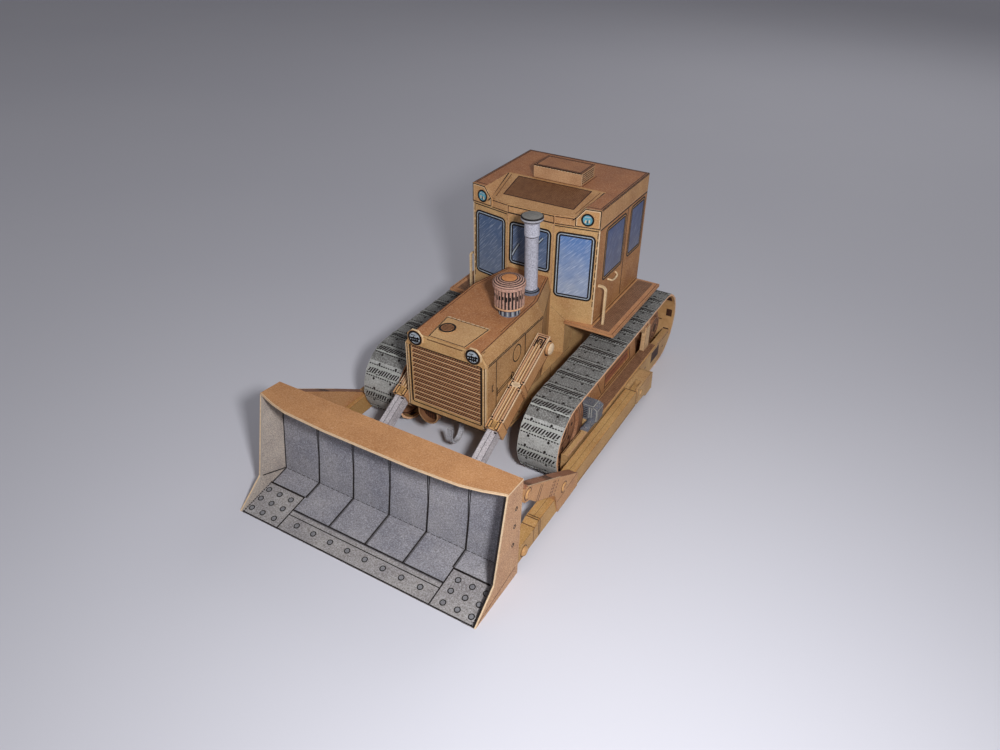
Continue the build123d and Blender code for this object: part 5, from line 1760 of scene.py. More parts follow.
@dataclass(frozen=True)
class Loop:
    """The outer line of a track: a belt round the idler and the sprocket.

    Its first measure runs across the machine and its second along the belt, from the top
    of the idler rearwards.

    Attributes:
        sign: The sign of the machine's side.
        inset: How far the surface lies inside the belt's outer line.
        inward: Whether the surface looks into the loop.
    """

    sign: int = 1
    inset: float = 0.0
    inward: bool = False
    idler_y: float = -17.0
    idler_z: float = 20.8
    idler_radius: float = 20.5
    sprocket_y: float = 99.8
    sprocket_z: float = 21.8
    sprocket_radius: float = 21.5

    @property
    def mirrored(self) -> bool:
        """Whether the measures run clockwise, seen from the side that the surface looks to."""
        return (self.sign < 0) != self.inward

    @property
    def _run(self) -> tuple[float, float]:
        """The distance between the wheels along Y and Z."""
        return self.sprocket_y - self.idler_y, self.sprocket_z - self.idler_z

    @property
    def _wrap(self) -> float:
        """How much further than half the belt goes round the sprocket, at each end."""
        return math.atan2(self.sprocket_radius - self.idler_radius, math.hypot(*self._run))

    @property
    def straight(self) -> float:
        """The length of each straight run."""
        return math.hypot(*self._run) * math.cos(self._wrap)

    @property
    def long(self) -> float:
        """The length of the whole belt."""
        front_bend = self.idler_radius * (math.pi - 2 * self._wrap)
        rear_bend = self.sprocket_radius * (math.pi + 2 * self._wrap)
        return 2 * self.straight + (front_bend + rear_bend)

    def place(self, reach: float) -> tuple[float, float, float]:
        """Gives a point of the belt's outer line.

        Args:
            reach: The distance along the belt.

        Returns:
            The point's y and z, and the angle of its outward way.
        """
        angle, wrap, straight = math.atan2(*reversed(self._run)), self._wrap, self.straight
        top_out, low_out = angle + wrap + math.pi / 2, angle - wrap - math.pi / 2
        rear_end = straight + self.sprocket_radius * (math.pi + 2 * wrap)
        reach %= self.long
        idler = (self.idler_y, self.idler_z, self.idler_radius)
        sprocket = (self.sprocket_y, self.sprocket_z, self.sprocket_radius)
        if reach < straight:
            wheel, out, slide = idler, top_out, reach
        elif reach < rear_end:
            wheel, out, slide = sprocket, top_out - (reach - straight) / self.sprocket_radius, 0.0
        elif reach < rear_end + straight:
            wheel, out, slide = sprocket, low_out, reach - rear_end
        else:
            wheel, out, slide = idler, low_out - (reach - rear_end - straight) / self.idler_radius, 0.0
        way, (y, z, radius) = out - math.pi / 2, wheel
        y += radius * math.cos(out) + slide * math.cos(way)
        z += radius * math.sin(out) + slide * math.sin(way)
        return y, z, out

    def at(self, first: float, second: float, proud: float = 0.0) -> Vector:
        """Gives a point in metres.

        Args:
            first: Its distance from the machine's middle.
            second: The distance along the belt.
            proud: The height over the surface.

        Returns:
            The point in the model's frame.
        """
        y, z, out = self.place(second)
        rise = -self.inset - proud if self.inward else proud - self.inset
        return Vector((self.sign * first, y + rise * math.cos(out), z + rise * math.sin(out))) * MM


@dataclass
class Tracks(Assembly):
    """The two track loops with their printed shoes."""

    inner_x: float = 35.2
    outer_x: float = 56.2
    shoes: int = 28
    band: float = 1.0
    grouser_high: float = 0.3
    grouser_long: float = 2.6
    ink_high: float = 0.06
    floor_z: float = 5.0
    stroke_pitch: float = 1.49
    stroke_wide: float = 0.86
    stroke_lean: float = 0.7
    stroke_groups: tuple[tuple[int, int, float], ...] = ((0, 4, 0.7), (4, 5, 0.9), (9, 4, 0.7))
    dashes: int = 14
    dash_long: float = 0.95
    bolt_radius: float = 0.68
    lining_spans: int = 10

    def finishes(self) -> dict[str, Any]:
        """Gives the finish of each of its nodes."""
        return both("track", TRACK)

    def pieces(self) -> Iterator[Piece]:
        """Makes its added pieces."""
        for side in Side:
            shoes, lining = Marks(), Marks()
            for shoe in range(self.shoes):
                self._print_shoe(shoes, Loop(side.value), shoe)
            yield Piece(shoes.build(f"track_shoes_{side.word}"), Body.TRACTOR.value, Slot.TRACK)
            self._line_loop(lining, Loop(side.value, self.band, True))
            yield Piece(lining.build(f"track_lining_{side.word}"), Body.TRACTOR.value, Slot.TAN)

    def _print_shoe(self, marks: Marks, loop: Loop, shoe: int) -> None:
        """Prints one shoe: the grouser's strokes, pale strips, broken lines and bolts.

        Args:
            marks: The marks to add to.
            loop: The belt.
            shoe: The shoe's number.
        """
        pitch = loop.long / self.shoes
        bar = (shoe + 0.5) * pitch
        _, height, out = loop.place(bar)
        # The pale strips on the up-facing shoes are printed duller: painted shade.
        strip = Ink.DULL if math.sin(out) > 0.75 else Ink.PALE
        low, high = self.inner_x + 0.2, self.outer_x - 0.35
        half = self.grouser_long / 2
        lean, wide = self.stroke_lean * loop.sign, self.stroke_wide
        proud = self.grouser_high + (self.ink_high if height > self.floor_z else 0.0)
        for first, count, rise in self.stroke_groups:
            for index in range(count):
                foot = low + 0.7 + (first + index) * self.stroke_pitch
                slip = min(rise * (0.5 - index / (count - 1)), 0.0)
                back, front = bar - half - 0.1 + slip, bar + half + 0.1 + slip
                start, end = foot - lean, foot + lean
                feet = ((start, back), (start + wide, back), (end + wide, front), (end, front))
                marks.block(loop, feet, Ink.BLACK, proud=proud, sunk=0.0)
        for start, end in ((half + 0.1, half + 1.4), (pitch - half - 1.1, pitch - half - 0.1)):
            marks.box(loop, (low, bar + start), (high, bar + end), strip, proud=0.03)
        for reach in (bar + half + 1.9, bar + pitch - half - 1.55):
            for x in steps(low + 0.2, (high - low) / self.dashes, self.dashes):
                marks.box(loop, (x, reach - 0.3), (x + self.dash_long, reach + 0.3), Ink.BLACK)
        near, far = bar + half + 2.7, bar + pitch - half - 2.7
        bolts = ((39.2, near), (49.6, near), (40.0, far), (50.6, far))
        marks.spots(loop, bolts, self.bolt_radius, Ink.BLACK, 10)

    def _line_loop(self, marks: Marks, loop: Loop) -> None:
        """Lines the inside of the belt with tan card and prints its brown blocks.

        Args:
            marks: The marks to add to.
            loop: The belt's inner face.
        """
        pitch = loop.long / self.shoes
        low, high = self.inner_x + 0.15, self.outer_x - 0.15
        span = pitch / self.lining_spans
        for start in steps(0.0, span, self.shoes * self.lining_spans):
            marks.box(loop, (low, start), (high, start + span), Ink.TAN, proud=0.02)
        for shoe in range(self.shoes):
            for first in (low + 1.5, high - 5.0):
                for start in steps((shoe + 0.3) * pitch, 0.13 * pitch, 3):
                    marks.box(loop, (first, start), (first + 3.5, start + 0.13 * pitch), Ink.UMBER)
            marks.box(loop, (low + 7.0, (shoe + 0.9) * pitch), (high - 7.0, (shoe + 0.95) * pitch), Ink.BROWN)


@dataclass
class Running(Assembly):
    """The track frames with the steps, idlers, yokes, springs, rollers and final drives."""

    idler: Flat = (-17.0, 20.8)
    idler_x: float = 51.0
    idler_sunk_x: float = 49.4
    idler_inner_x: float = 39.0
    sprocket: Flat = (99.8, 21.8)
    sprocket_x: float = 51.2
    ledge_x: float = 56.4
    ledge_z: float = 15.2
    step_z: float = 16.0
    spring_x: float = 49.6
    spring_sunk_x: float = 48.9
    roller: Flat = (84.5, 31.0)
    roller_x: float = 51.6
    yoke_y: float = 6.0
    yoke_x: float = 57.0
    yoke_z: float = 24.0
    step_mesh: Rules = (
        *((Ink.UMBER, 0.05, x, 14.0, x, 90.7) for x in steps(50.5, 0.65, 9)),
        *((Ink.UMBER, 0.1, 50.3, y, 55.9, y) for y in steps(14.4, 1.1, 70)),
    )
    frame_rules: Rules = ((Ink.BROWN, 0.2, -20, 14.2, 44, 14.2), (Ink.BROWN, 0.2, 69, 14.2, 112, 14.2))
    frame_bolt_ys: tuple[float, ...] = (-14.0, 2.0, 18.0, 34.0, 76.0, 104.0)
    ledge_rules: Rules = (
        (Ink.BROWN, 0.3, 53.1, -24.4, 53.1, -4.0),
        (Ink.PEACH, 0.35, 56.0, -24.6, 56.0, 12.6),
        (Ink.PEACH, 0.35, 56.0, 92.0, 56.0, 112.6),
    )
    spring_rim: tuple[Flat, ...] = ((31.4, 18.4), (67, 18.4), (64, 27.1), (31.4, 27.1))
    spring_slot: tuple[Flat, ...] = ((32.6, 19.6), (65.0, 19.6), (63.0, 26.0), (32.6, 26.0))
    spring_rules: Rules = (
        (Ink.UMBER, 0.4, 19.5, 30.6, 28.0, 17.0),
        (Ink.BROWN, 0.35, 14.0, 16.4, 74.0, 16.4),
        (Ink.PEACH, 0.3, 20.0, 30.6, 68.5, 30.6),
    )
    yoke_front_rules: Rules = (
        *((Ink.BLACK, 0.35, 35.6, z, 51.6, z + 0.25) for z in steps(16.6, 1.15, 6)),
        (Ink.PALE, 0.3, 52.6, 16.0, 52.6, 23.4),
        (Ink.PALE, 0.3, 53.8, 16.0, 53.8, 23.4),
        (Ink.PALE, 0.3, 54.5, 23.6, 56.6, 22.4, 56.6, 15.8),
    )
    yoke_top_rules: Rules = ((Ink.PALE, 0.35, 35.0, 6.4, 54.4, 6.4, 54.4, 12.9),)
    yoke_side_rules: Rules = (
        (Ink.PALE, 0.35, 6.4, 16.0, 6.4, 22.4, 12.8, 22.4),
        (Ink.LINE, 0.25, 9.6, 16.0, 9.6, 22.0),
    )

    def finishes(self) -> dict[str, Any]:
        """Gives the finish of each of its nodes."""
        return {
            **both("track_frame", ORANGE),
            **both("step_plate", STEP),
            **both("idler", RUST),
            **both("idler_yoke", YOKE),
            **both("spring_housing", DEEP_ORANGE),
            **both("carrier_roller", CREAM),
            **both("final_drive", RUST),
            **both("arm_bracket", ORANGE),
        }

    def pieces(self) -> Iterator[Piece]:
        """Makes its added pieces."""
        for side in Side:
            marks = Marks()
            self._print_wheels(marks, side.value)
            self._print_frame(marks, side.value)
            self._print_yoke(marks, side.value)
            yield Piece(marks.build(f"running_print_{side.word}"), Body.TRACTOR.value, Slot.RUST)

    def _print_wheels(self, marks: Marks, sign: int) -> None:
        """Prints the rings of the idler and the final drive.

        Args:
            marks: The marks to add to.
            sign: The sign of the machine's side.
        """
        rim, sunk = Panel.side(self.idler_x, sign), Panel.side(self.idler_sunk_x, sign)
        inner, drive = Panel.side(self.idler_inner_x, sign, -1), Panel.side(self.sprocket_x, sign)
        for face, middle, rings in (
            (rim, self.idler, ((18.7, 0.6, Ink.UMBER), (16.8, 0.35, Ink.UMBER), (15.0, 0.5, Ink.BROWN))),
            (sunk, self.idler, ((12.3, 0.5, Ink.UMBER), (6.0, 0.5, Ink.UMBER))),
            (inner, self.idler, ((18.4, 0.5, Ink.UMBER), (13.0, 0.5, Ink.UMBER), (6.0, 0.5, Ink.UMBER))),
            (drive, self.sprocket, ((5.4, 0.5, Ink.UMBER),)),
        ):
            for radius, wide, ink in rings:
                marks.ring(face, middle, radius, wide, ink)
        marks.disc(sunk, self.idler, 3.4, Ink.UMBER)
        marks.spots(sunk, round_points(self.idler, 9.2, 9.2, 8), 1.1, Ink.UMBER, 16)
        marks.disc(drive, self.sprocket, 2.6, Ink.UMBER, 20)
        marks.spots(drive, round_points(self.sprocket, 4.0, 4.0, 6), 0.6, Ink.UMBER, 12)

    def _print_frame(self, marks: Marks, sign: int) -> None:
        """Prints the frame's side, its ledge and step, the spring housing and the roller.

        Args:
            marks: The marks to add to.
            sign: The sign of the machine's side.
        """
        step = Panel.top(self.step_z)
        marks.box(step, (sign * 50.2, 13.8), (sign * 56.0, 90.9), Ink.WALKWAY)
        marks.rules(step, self.step_mesh, sign, proud=0.07)
        marks.rules(step, ((Ink.STRAW, 0.4, 56.5, 13.7, 56.5, 91.1),), sign)
        face = Panel.side(self.ledge_x, sign)
        marks.rules(face, self.frame_rules)
        marks.box(face, (85, 6.5), (97, 13.4), Ink.UMBER)
        marks.spots(face, [(y, 8.5) for y in self.frame_bolt_ys], 0.7, Ink.UMBER, 14)
        marks.rules(Panel.top(self.ledge_z), self.ledge_rules, sign)
        spring, slot = Panel.side(self.spring_x, sign), Panel.side(self.spring_sunk_x, sign)
        marks.line(spring, self.spring_rim, 0.45, Ink.UMBER, closed=True)
        marks.rules(spring, self.spring_rules)
        marks.block(slot, self.spring_slot, Ink.RUST)
        marks.line(slot, ((33.5, 22.8), (63.5, 22.8)), 0.3, Ink.UMBER, proud=0.08)
        roller = Panel.side(self.roller_x, sign)
        marks.ring(roller, self.roller, 3.6, 0.5, Ink.RUST)
        marks.disc(roller, self.roller, 1.5, Ink.RUST, 20)

    def _print_yoke(self, marks: Marks, sign: int) -> None:
        """Prints the idler's yoke.

        Args:
            marks: The marks to add to.
            sign: The sign of the machine's side.
        """
        marks.rules(Panel.front(self.yoke_y), self.yoke_front_rules, sign)
        marks.rules(Panel.top(self.yoke_z), self.yoke_top_rules, sign)
        marks.rules(Panel.side(self.yoke_x, sign), self.yoke_side_rules)


# ---- the blade -----------------------------------------------------------------


@dataclass
class Blade(Assembly):
    """The blade with its visor, edge, end plates, rear beams, push arms and braces."""

    half: float = 64.1
    face_half: float = 62.5
    tip: Flat = (-121.6, 0.0)
    fold: Flat = (-92.3, 5.2)
    face_top: Flat = (-86.2, 50.4)
    back_top: Flat = (-85.1, 50.4)
    back_foot: Flat = (-87.9, 0.0)
    kink: Flat = (-107.1, 10.8)
    end_top: Flat = (-97.3, 51.4)
    edge_deep: float = 10.9
    bit_deep: float = 19.9
    edge_thick: float = 0.5
    card: float = 0.8
    seams: tuple[float, ...] = (-41.0, -20.5, 0.0, 20.5, 41.0)
    edge_rules: Rules = ((Ink.BLACK, 0.34, -41.4, 8.7, 41.4, 8.7), (Ink.BLACK, 0.5, -62.5, 0.35, 62.5, 0.35))
    bit_rules: Rules = (
        (Ink.BLACK, 0.5, 41.5, 0.2, 41.5, 19.7),
        (Ink.BLACK, 0.8, 41.4, 19.45, 62.5, 19.45),
    )
    bit_bolts: tuple[Flat, ...] = tuple(
        (x, reach) for x in (46.3, 53.3, 60.0) for reach in (15.43712, 9.74976, 3.75772)
    )
    plate_bolt_zs: tuple[float, ...] = (21.0, 30.5, 39.5)
    visor_front: tuple[Flat, ...] = ((64.1, -12.3), (54.0, -15.6), (45.0, -17.6), (22.0, -18.9))
    arm_x: float = 64.1
    arm_z: float = 14.8
    arm_low_z: float = 13.6
    gusset: float = 0.6
    arm_top_rules: Rules = (
        (Ink.AMBER, 0.05, 58.4, -69.5, 58.4, 42.4),
        (Ink.BROWN, 0.05, 60.9, -69.5, 60.9, 42.4),
        (Ink.AMBER, 0.05, 63.5, -69.5, 63.5, 42.4),
        (Ink.UMBER, 0.35, 57.9, -69.2, 63.9, -69.2),
        (Ink.UMBER, 0.35, 57.9, -68.0, 63.9, -68.0),
        (Ink.UMBER, 0.4, 57.8, 42.5, 63.9, 42.5),
    )
    arm_side_rules: Rules = (
        (Ink.UMBER, 0.35, -69.2, 5.7, -69.2, 14.6),
        (Ink.UMBER, 0.35, -68.0, 5.7, -68.0, 14.6),
        (Ink.BROWN, 0.3, -74.0, 5.7, -74.0, 13.2),
        (Ink.UMBER, 0.4, 42.5, 5.7, 42.5, 14.5),
        (Ink.BROWN, 0.18, -30.0, 6.3, 41.8, 6.3),
    )
    brace_side_rules: Rules = (
        (Ink.UMBER, 0.4, -74.2, 30.6, -70.0, 36.9),
        (Ink.UMBER, 0.4, -72.6, 29.6, -68.4, 35.9),
        (Ink.BROWN, 0.2, -53.0, 12.8, -32.4, 14.4),
    )
    brace_dashes: tuple[Flat, ...] = ((-61.6, 22.9), (-60.0, 22.0), (-57.0, 20.2))
    brace_low: Flat = (-50.6, 26.1)
    brace_high: Flat = (-82.3, 45.3)
    brace_top_rules: Rules = (
        (Ink.CREAM, 0.3, 64.5, 0.2, 64.5, 36.8),
        *((Ink.BLACK, 0.3, 60.4, reach, 64.2, reach) for reach in (15.6, 31.6)),
        *((Ink.BLACK, 0.6, 60.4, reach, 64.2, reach) for reach in (33.2, 34.8)),
        (Ink.BLACK, 1.3, 60.4, 9.6, 64.2, 9.6),
        (Ink.BLACK, 0.9, 60.4, 11.8, 64.2, 11.8),
        (Ink.BLACK, 0.7, 60.4, 13.6, 64.2, 13.6),
    )
    arm_pin: Flat = (-82.6, 8.4)
    brace_pins: tuple[Flat, Flat] = ((-46.6, 17.0), (-82.0, 41.0))
    boss_proud: float = 1.5

    def finishes(self) -> dict[str, Any]:
        """Gives the finish of each of its nodes."""
        return {
            "moldboard": MOLDBOARD,
            "cutting_edge": IRON,
            "visor": VISOR,
            "end_plate_left": END_LEFT,
            "end_plate_right": END_RIGHT,
            "blade_beams": DEEP_ORANGE,
            **both("push_arm", ARM),
            **both("brace", BRACE),
        }

    def pieces(self) -> Iterator[Piece]:
        """Makes its added pieces."""
        body = Body.BLADE.value
        yield printed("moldboard_print", body, Slot.GREY, self._print_face)
        yield printed("cutting_edge_print", body, Slot.GREY, self._print_edge)
        plates = (self._print_plates, self._print_visor, self._print_back)
        yield printed("blade_plate_print", body, Slot.ORANGE, *plates)
        yield printed("push_arm_print", body, Slot.TAN, self._print_arms)
        low, high = self.brace_pins
        bosses = ((self.arm_pin, 0.0, 2.3), (low, self.gusset, 2.3), (high, self.gusset, 2.1))
        for side in Side:
            for index, (middle, proud, radius) in enumerate(bosses):
                seat = Panel.side(self.arm_x + proud, side.value).moved(*middle)
                name = f"arm_boss_{side.word}_{index}"
                yield Piece(dome(name, seat, radius, self.boss_proud - proud, Ink.BOSS), body, Slot.ORANGE)

    def _print_face(self, marks: Marks) -> None:
        """Prints the moldboard's seams, its fold, its edge lines and painted shadows under the visor and beside the
        left end plate.

        Args:
            marks: The marks to add to.
        """
        upper, high = Panel.sloping(self.fold, self.face_top), math.dist(self.fold, self.face_top)
        lower, deep = Panel.sloping(self.tip, self.fold), math.dist(self.tip, self.fold)
        for x in self.seams:
            foot = self.bit_deep if abs(x) > 40 else self.edge_deep + 0.6
            left = ((x - 0.25, 0.0), (x + 0.1, 0.35 * high), (x - 0.45, 0.6 * high), (x - 0.62, high))
            right = ((x + 0.25, 0.0), (x + 0.5, 0.3 * high), (x + 0.4, 0.55 * high), (x + 0.66, high))
            marks.line(upper, left, 0.42, Ink.BLACK)
            marks.line(upper, right, 0.32, Ink.BLACK)
            marks.line(lower, ((x, foot), (x, deep)), 1.35, Ink.LINE, proud=0.03)
            marks.line(lower, ((x - 0.3, foot), (x - 0.2, deep)), 0.5, Ink.BLACK)
        # The wide black line at the left end is the end plate's painted shadow on the face.
        for sign, wide in ((1, 1.9), (-1, 0.5)):
            middle = sign * (self.face_half - 0.2 - wide / 2)
            marks.line(upper, ((middle, 0.0), (middle, high)), wide, Ink.BLACK)
            marks.line(lower, ((middle, self.bit_deep), (middle, deep)), wide, Ink.BLACK)
        edge = self.face_half - 1.4
        marks.dashes(upper, (-edge, 0.1), (edge, 0.1), 0.24, 2.2, 0.8, Ink.BLACK)
        # The black line along the top is the visor's painted shadow.
        marks.line(upper, ((-self.face_half, high - 0.35), (self.face_half, high - 0.35)), 0.7, Ink.BLACK)

    def _print_edge(self, marks: Marks) -> None:
        """Prints the cutting edge's lines and bolts.

        Args:
            marks: The marks to add to.
        """
        lower = Panel.sloping(self.tip, self.fold)
        plate = lower.moved(out=self.edge_thick)
        marks.rules(plate, self.edge_rules)
        marks.rules(lower, ((Ink.LINE, 1.2, -41.4, 11.65, 41.4, 11.65),), proud=0.03)
        marks.rules(lower, ((Ink.BLACK, 0.5, -41.4, 11.85, 41.4, 11.85),))
        bolts = [(x, 5.4) for x in steps(-33.9, 9.69, 8)]
        for sign in (1, -1):
            marks.rules(plate, self.bit_rules, sign)
            marks.dashes(plate, (sign * 62.1, 0.3), (sign * 62.1, 19.3), 0.4, 0.8, 0.45, Ink.BLACK)
            bolts += [(sign * x, reach) for x, reach in self.bit_bolts]
        marks.spots(plate, bolts, 1.45, Ink.BLACK)
        marks.spots(plate, bolts, 0.98, Ink.HEAD, 20, proud=0.09)

    def _print_plates(self, marks: Marks) -> None:
        """Prints both faces of the end plates, with a painted shadow along the left plate's front edge beside the
        moldboard.

        Args:
            marks: The marks to add to.
        """
        for side in Side:
            sign = side.value
            inner, outer = Panel.side(self.face_half, sign, -1), Panel.side(self.half, sign)
            marks.line(inner, (self.fold, (self.kink[0] + 0.9, self.kink[1] + 0.1)), 0.5, Ink.BLACK)
            rims = [(sign * (self.half - 0.3), 0.6, Ink.CREAM)]
            # At the left end, a black line along the plate's front edge is painted shadow.
            if side is Side.LEFT:
                rims.append((self.face_half + 0.45, 0.9, Ink.BLACK))
            for low, high in ((self.tip, self.kink), (self.kink, self.end_top)):
                for x, wide, ink in rims:
                    marks.line(Panel.sloping(low, high), ((x, 0.1), (x, math.dist(low, high))), wide, ink)
            marks.line(outer, ((-119.4, 1.4), (-90.0, 5.6)), 0.3, Ink.BROWN)
            for z in self.plate_bolt_zs:
                y = -92.6 + (z - self.plate_bolt_zs[0]) * 0.12
                marks.ring(outer, (y, z), 0.9, 0.35, Ink.BLACK, flat=0.8)
                marks.line(outer, ((y + 0.5, z - 0.8), (y + 0.5, z + 0.8)), 0.5, Ink.BLACK)

    def _print_visor(self, marks: Marks) -> None:
        """Prints the visor's pale front edge.

        Args:
            marks: The marks to add to.
        """
        long = math.dist(self.end_top, self.back_top)
        top = Panel.sloping(self.end_top, self.back_top, 1).moved(0, long, self.card)
        inset = [(x - 0.35, y + 0.3) for x, y in self.visor_front]
        for sign in (1, -1):
            marks.line(top, [(sign * x, y) for x, y in inset], 0.3, Ink.CREAM)
        marks.line(top, (inset[-1], (-inset[-1][0], inset[-1][1])), 0.3, Ink.CREAM)

    def _print_back(self, marks: Marks) -> None:
        """Prints the blade's rear wall and its beams.

        Args:
            marks: The marks to add to.
        """
        back = Panel.sloping(self.back_foot, self.back_top, 1)
        for low, high in ((25.0, 37.5), (1.0, 16.0)):
            marks.rules(back, [(Ink.BROWN, 0.3, x, low, x, high) for x in self.seams])
        marks.rules(back, [(Ink.BROWN, 0.3, -56, z, 56, z) for z in (15.9, 25.1, 37.4, 44.6)])
        marks.spots(back, [(x, 47.6) for x in steps(-55.0, 10.0, 12)], 0.6, Ink.UMBER, 12)

    def _print_arms(self, marks: Marks) -> None:
        """Prints the push arms and the braces.

        Args:
            marks: The marks to add to.
        """
        for side in Side:
            sign = side.value
            marks.rules(Panel.top(self.arm_z), self.arm_top_rules, sign)
            marks.rules(Panel.top(self.arm_low_z), ((Ink.BROWN, 0.3, 57.8, -73.0, 63.9, -73.0),), sign)
            outer, gusset = Panel.side(self.arm_x, sign), Panel.side(self.arm_x + self.gusset, sign)
            marks.rules(outer, self.arm_side_rules)
            marks.ring(outer, self.arm_pin, 2.7, 0.3, Ink.UMBER)
            marks.rules(gusset, self.brace_side_rules)
            for middle in self.brace_pins:
                marks.ring(gusset, middle, 2.75, 0.3, Ink.UMBER)
            for y, z in self.brace_dashes:
                marks.dashes(gusset, (y, z), (y + 4.4, z + 6.6), 0.6, 0.9, 0.7, Ink.BROWN)
            marks.rules(Panel.sloping(self.brace_low, self.brace_high, 1), self.brace_top_rules, sign)


# ---- the lift cylinders ----------------------------------------------------------


@dataclass
class Cylinders(Assembly):
    """The two lift cylinders: their casings with printed pipes, and their rods."""

    pivot: Flat = (1.6, 53.4)
    eye: Flat = (-81.0, 11.8)
    x: float = 26.3
    half: float = 3.5
    half_deep: float = 4.2
    above: float = 4.4
    below: float = 51.4
    rod_half: float = 2.7
    rod_half_deep: float = 2.8
    cap_radius: float = 3.1
    clamp_foot: float = -27.6
    clamp_x: float = 2.7

    def finishes(self) -> dict[str, Any]:
        """Gives the finish of each of its nodes."""
        return {**both("cylinder_casing", CASING), **both("rod", ROD)}

    def pieces(self) -> Iterator[Piece]:
        """Makes its added pieces."""
        for side in Side:
            word, body = side.word, Body.CYLINDER.value + side.word
            pipes, creases = Marks(), Marks()
            self._print_crown(pipes, self.crown(side, self.half_deep))
            self._print_clamps(pipes, self.crown(side, self.half_deep))
            self._print_flank(pipes, self.flank(side).moved(out=self.half))
            yield Piece(pipes.build(f"cylinder_pipes_{word}"), body, Slot.CREAM)
            seat = self.flank(side).moved(out=self.half + 0.9)
            yield Piece(dome(f"trunnion_cap_{word}", seat, self.cap_radius, 1.6, Ink.CREAM), body, Slot.CREAM)
            self._print_rod(creases, self.crown(side, self.rod_half_deep))
            yield Piece(creases.build(f"rod_print_{word}"), Body.RAM.value + word, Slot.GREY)

    def flank(self, side: Side) -> Panel:
        """Gives the cylinder's middle plane, measured from the trunnion up its axis.

        Args:
            side: The machine's side.

        Returns:
            The panel, which looks away from the machine.
        """
        axis = Vector((0, self.pivot[0] - self.eye[0], self.pivot[1] - self.eye[1])).normalized()
        origin = Vector((side.value * self.x, *self.pivot))
        return Panel(origin, axis, Vector((0, -axis.z, axis.y)), ACROSS * side.value)

    def crown(self, side: Side, deep: float) -> Panel:
        """Gives the cylinder's upper face, measured across the machine and up the axis.

        Args:
            side: The machine's side.
            deep: How far the face is from the axis.

        Returns:
            The panel.
        """
        flank = self.flank(side)
        return Panel(flank.origin, ACROSS, flank.along, flank.up).moved(out=deep)

    def _print_crown(self, marks: Marks, crown: Panel) -> None:
        """Prints the casing's upper face: its rims, two pipes and a bracket at its head.

        Args:
            marks: The marks to add to.
            crown: The face.
        """
        low, high = -self.below, self.above
        marks.box(crown, (-self.half + 0.1, low), (self.half - 0.1, high - 0.1), Ink.PEACH, proud=0.02)
        for x in (-self.half + 0.25, self.half - 0.25):
            marks.line(crown, ((x, low), (x, high - 0.2)), 0.3, Ink.CREAM)
            marks.dashes(crown, (x * 0.93, low + 1.0), (x * 0.93, high - 0.6), 0.05, 0.6, 0.6, Ink.UMBER)
        for x in (-0.78, 0.78):
            marks.line(crown, ((x, low + 4.8), (x, -1.0)), 0.85, Ink.BOSS, proud=0.3)
            marks.line(crown, ((x - 0.1, low + 4.9), (x - 0.1, -1.1)), 0.25, Ink.CREAM, proud=0.34)
        for x in (-1.45, 0.0, 1.45, -2.75, 2.75):
            marks.line(crown, ((x, low + 0.3), (x, 0.4)), 0.2, Ink.UMBER, proud=0.06)
        marks.line(crown, ((-1.9, -3.6), (-1.9, 2.4), (1.9, 2.4), (1.9, -3.6)), 0.6, Ink.BLACK, proud=0.1)
        marks.line(crown, ((-0.8, -2.0), (-0.8, 1.0), (0.8, 1.0), (0.8, -2.0)), 0.4, Ink.BLACK, proud=0.38)
        marks.line(crown, ((-3.0, 3.6), (3.0, 3.6)), 0.3, Ink.UMBER)

    def _print_clamps(self, marks: Marks, crown: Panel) -> None:
        """Prints the clamps that hold the pipes, with their bolts.

        Args:
            marks: The marks to add to.
            crown: The casing's upper face.
        """
        clamp, low = crown.moved(out=0.3), -self.below
        for foot, long, ink in ((self.clamp_foot, 2.6, Ink.CREAM), (low, 4.6, Ink.STRAW)):
            marks.box(clamp, (-2.9, foot), (2.9, foot + long), Ink.BLACK, proud=0.1)
            marks.box(clamp, (-2.4, foot + 0.5), (2.4, foot + long - 0.5), ink, proud=0.16)
            marks.box(clamp, (-1.5, foot - 0.1), (1.5, foot + long + 0.1), ink, proud=0.16)
            for x in (-self.clamp_x, self.clamp_x):
                for rim in (foot - 1.2, foot + long + 1.2):
                    marks.line(crown, ((x - 0.5, rim), (x + 0.5, rim)), 0.5, Ink.BLACK, proud=0.34)
        for x in (-1.25, 1.25):
            marks.line(clamp, ((x, low + 0.3), (x, low + 4.3)), 0.28, Ink.UMBER, proud=0.2)

    def _print_flank(self, marks: Marks, outer: Panel) -> None:
        """Prints the casing's outer side.

        Args:
            marks: The marks to add to.
            outer: The side.
        """
        low, high, deep = -self.below, self.above, self.half_deep
        marks.line(outer, ((low + 4.8, deep - 0.2), (high - 0.3, deep - 0.2)), 0.35, Ink.CREAM)
        marks.line(outer, ((low + 5.2, 0.3 - deep), (high - 0.3, 0.3 - deep)), 0.25, Ink.BROWN)
        for foot in (-28.4, -24.4, low + 5.0):
            marks.line(outer, ((foot, -3.8), (foot, 3.8)), 0.25, Ink.BROWN)
        marks.ring(outer, (0, 0), 3.7, 0.5, Ink.BLACK)

    def _print_rod(self, marks: Marks, crown: Panel) -> None:
        """Prints the rod's creases.

        Args:
            marks: The marks to add to.
            crown: The rod's upper face.
        """
        foot = 4.6 - math.dist(self.pivot, self.eye)
        for x, wide in ((-0.2, 0.16), (-self.rod_half + 0.15, 0.14), (self.rod_half - 0.15, 0.14)):
            marks.line(crown, ((x, foot), (x, -24.0)), wide, Ink.LINE, proud=0.03)


# ---- the studio ------------------------------------------------------------------


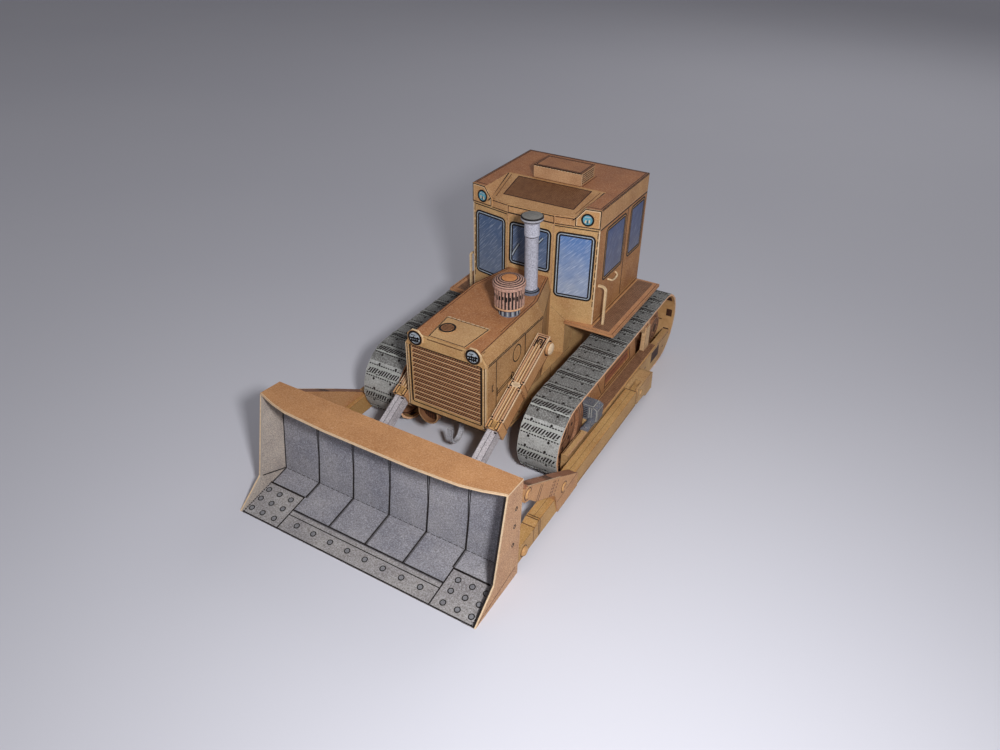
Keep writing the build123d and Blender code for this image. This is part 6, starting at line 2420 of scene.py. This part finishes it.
@dataclass
class Studio:
    """A pale floor, soft lights and the camera."""

    place: tuple[float, float, float] = (168.06, -285.50, 254.16)
    yaw: float = 0.52213
    pitch: float = 0.59906
    roll: float = 0.013612
    lens: float = 27.683
    sensor: float = 36.0

    def build(self) -> None:
        """Makes the floor, the lights and the camera."""
        self._floor()
        self._lights()
        self._camera()
        LOG.info("the studio is ready")

    def _floor(self) -> None:
        """Makes the pale floor."""
        wide = 4.0
        mesh = bpy.data.meshes.new("floor")
        corners = [(-wide, -wide, 0), (wide, -wide, 0), (wide, wide, 0), (-wide, wide, 0)]
        mesh.from_pydata(corners, [], [(0, 1, 2, 3)])
        tree = Tree("floor")
        colour = tree.mix(tree.noise(260.0), shade(206, 206, 214), shade(200, 200, 210))
        tree.feed(tree.shader.inputs["Base Color"], colour)
        rough = tree.math("MULTIPLY", tree.noise(80.0), 0.1)
        tree.feed(tree.shader.inputs["Roughness"], tree.math("ADD", rough, 0.7))
        mesh.materials.append(tree.material)
        floor = bpy.data.objects.new("floor", mesh)
        bpy.context.scene.collection.objects.link(floor)

    def _lights(self) -> None:
        """Makes the world's light and the area lights."""
        scene = bpy.context.scene
        scene.view_settings.view_transform = "Standard"
        world = bpy.data.worlds.new("studio")
        world.use_nodes = True
        sky = world.node_tree.nodes["Background"]
        sky.inputs["Color"].default_value = (0.96, 0.95, 1.0, 1.0)
        sky.inputs["Strength"].default_value = 0.22
        scene.world = world
        for name, spot, size, power in (
            ("key", (0.222, -0.262, 0.278), 0.04, 1.42),
            ("fill", (-0.7, -0.35, 0.6), 0.8, 0.4),
            ("rim", (0.1, 0.9, 0.8), 0.7, 1.9),
        ):
            light = bpy.data.lights.new(name, "AREA")
            light.shape = "DISK"
            light.size = size
            light.energy = power
            lamp = bpy.data.objects.new(name, light)
            lamp.location = spot
            lamp.rotation_euler = (Vector((0, 0, 0.04)) - Vector(spot)).to_track_quat("-Z", "Y").to_euler()
            scene.collection.objects.link(lamp)

    def _camera(self) -> None:
        """Makes the camera."""
        yaw, pitch, roll = self.yaw, self.pitch, self.roll
        ahead = Vector((-math.sin(yaw) * math.cos(pitch), math.cos(yaw) * math.cos(pitch), -math.sin(pitch)))
        right = Vector((math.cos(yaw), math.sin(yaw), 0))
        up = right.cross(ahead)
        turned_right = right * math.cos(roll) + up * math.sin(roll)
        turned_up = up * math.cos(roll) - right * math.sin(roll)
        lens = bpy.data.cameras.new("camera")
        lens.lens, lens.sensor_width = self.lens, self.sensor
        lens.clip_start, lens.clip_end = 0.01, 20.0
        camera = bpy.data.objects.new("camera", lens)
        columns = Matrix((turned_right, turned_up, -ahead)).transposed()
        camera.matrix_world = Matrix.Translation(Vector(self.place) * MM) @ columns.to_4x4()
        bpy.context.scene.collection.objects.link(camera)
        bpy.context.scene.camera = camera


def main() -> None:
    """Builds the studio and each sub-assembly in order."""
    logging.basicConfig(level=logging.INFO, format="%(name)s: %(message)s")
    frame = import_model()
    Studio().build()
    shop = Shop(frame)
    for assembly in (Underbody(), Hood(), Cab(), Tracks(), Running(), Blade(), Cylinders()):
        LOG.info("building the %s", type(assembly).__name__.lower())
        assembly.build(shop)
    LOG.info("placed %d pieces", shop.placed)


if __name__ == "__main__":
    main()
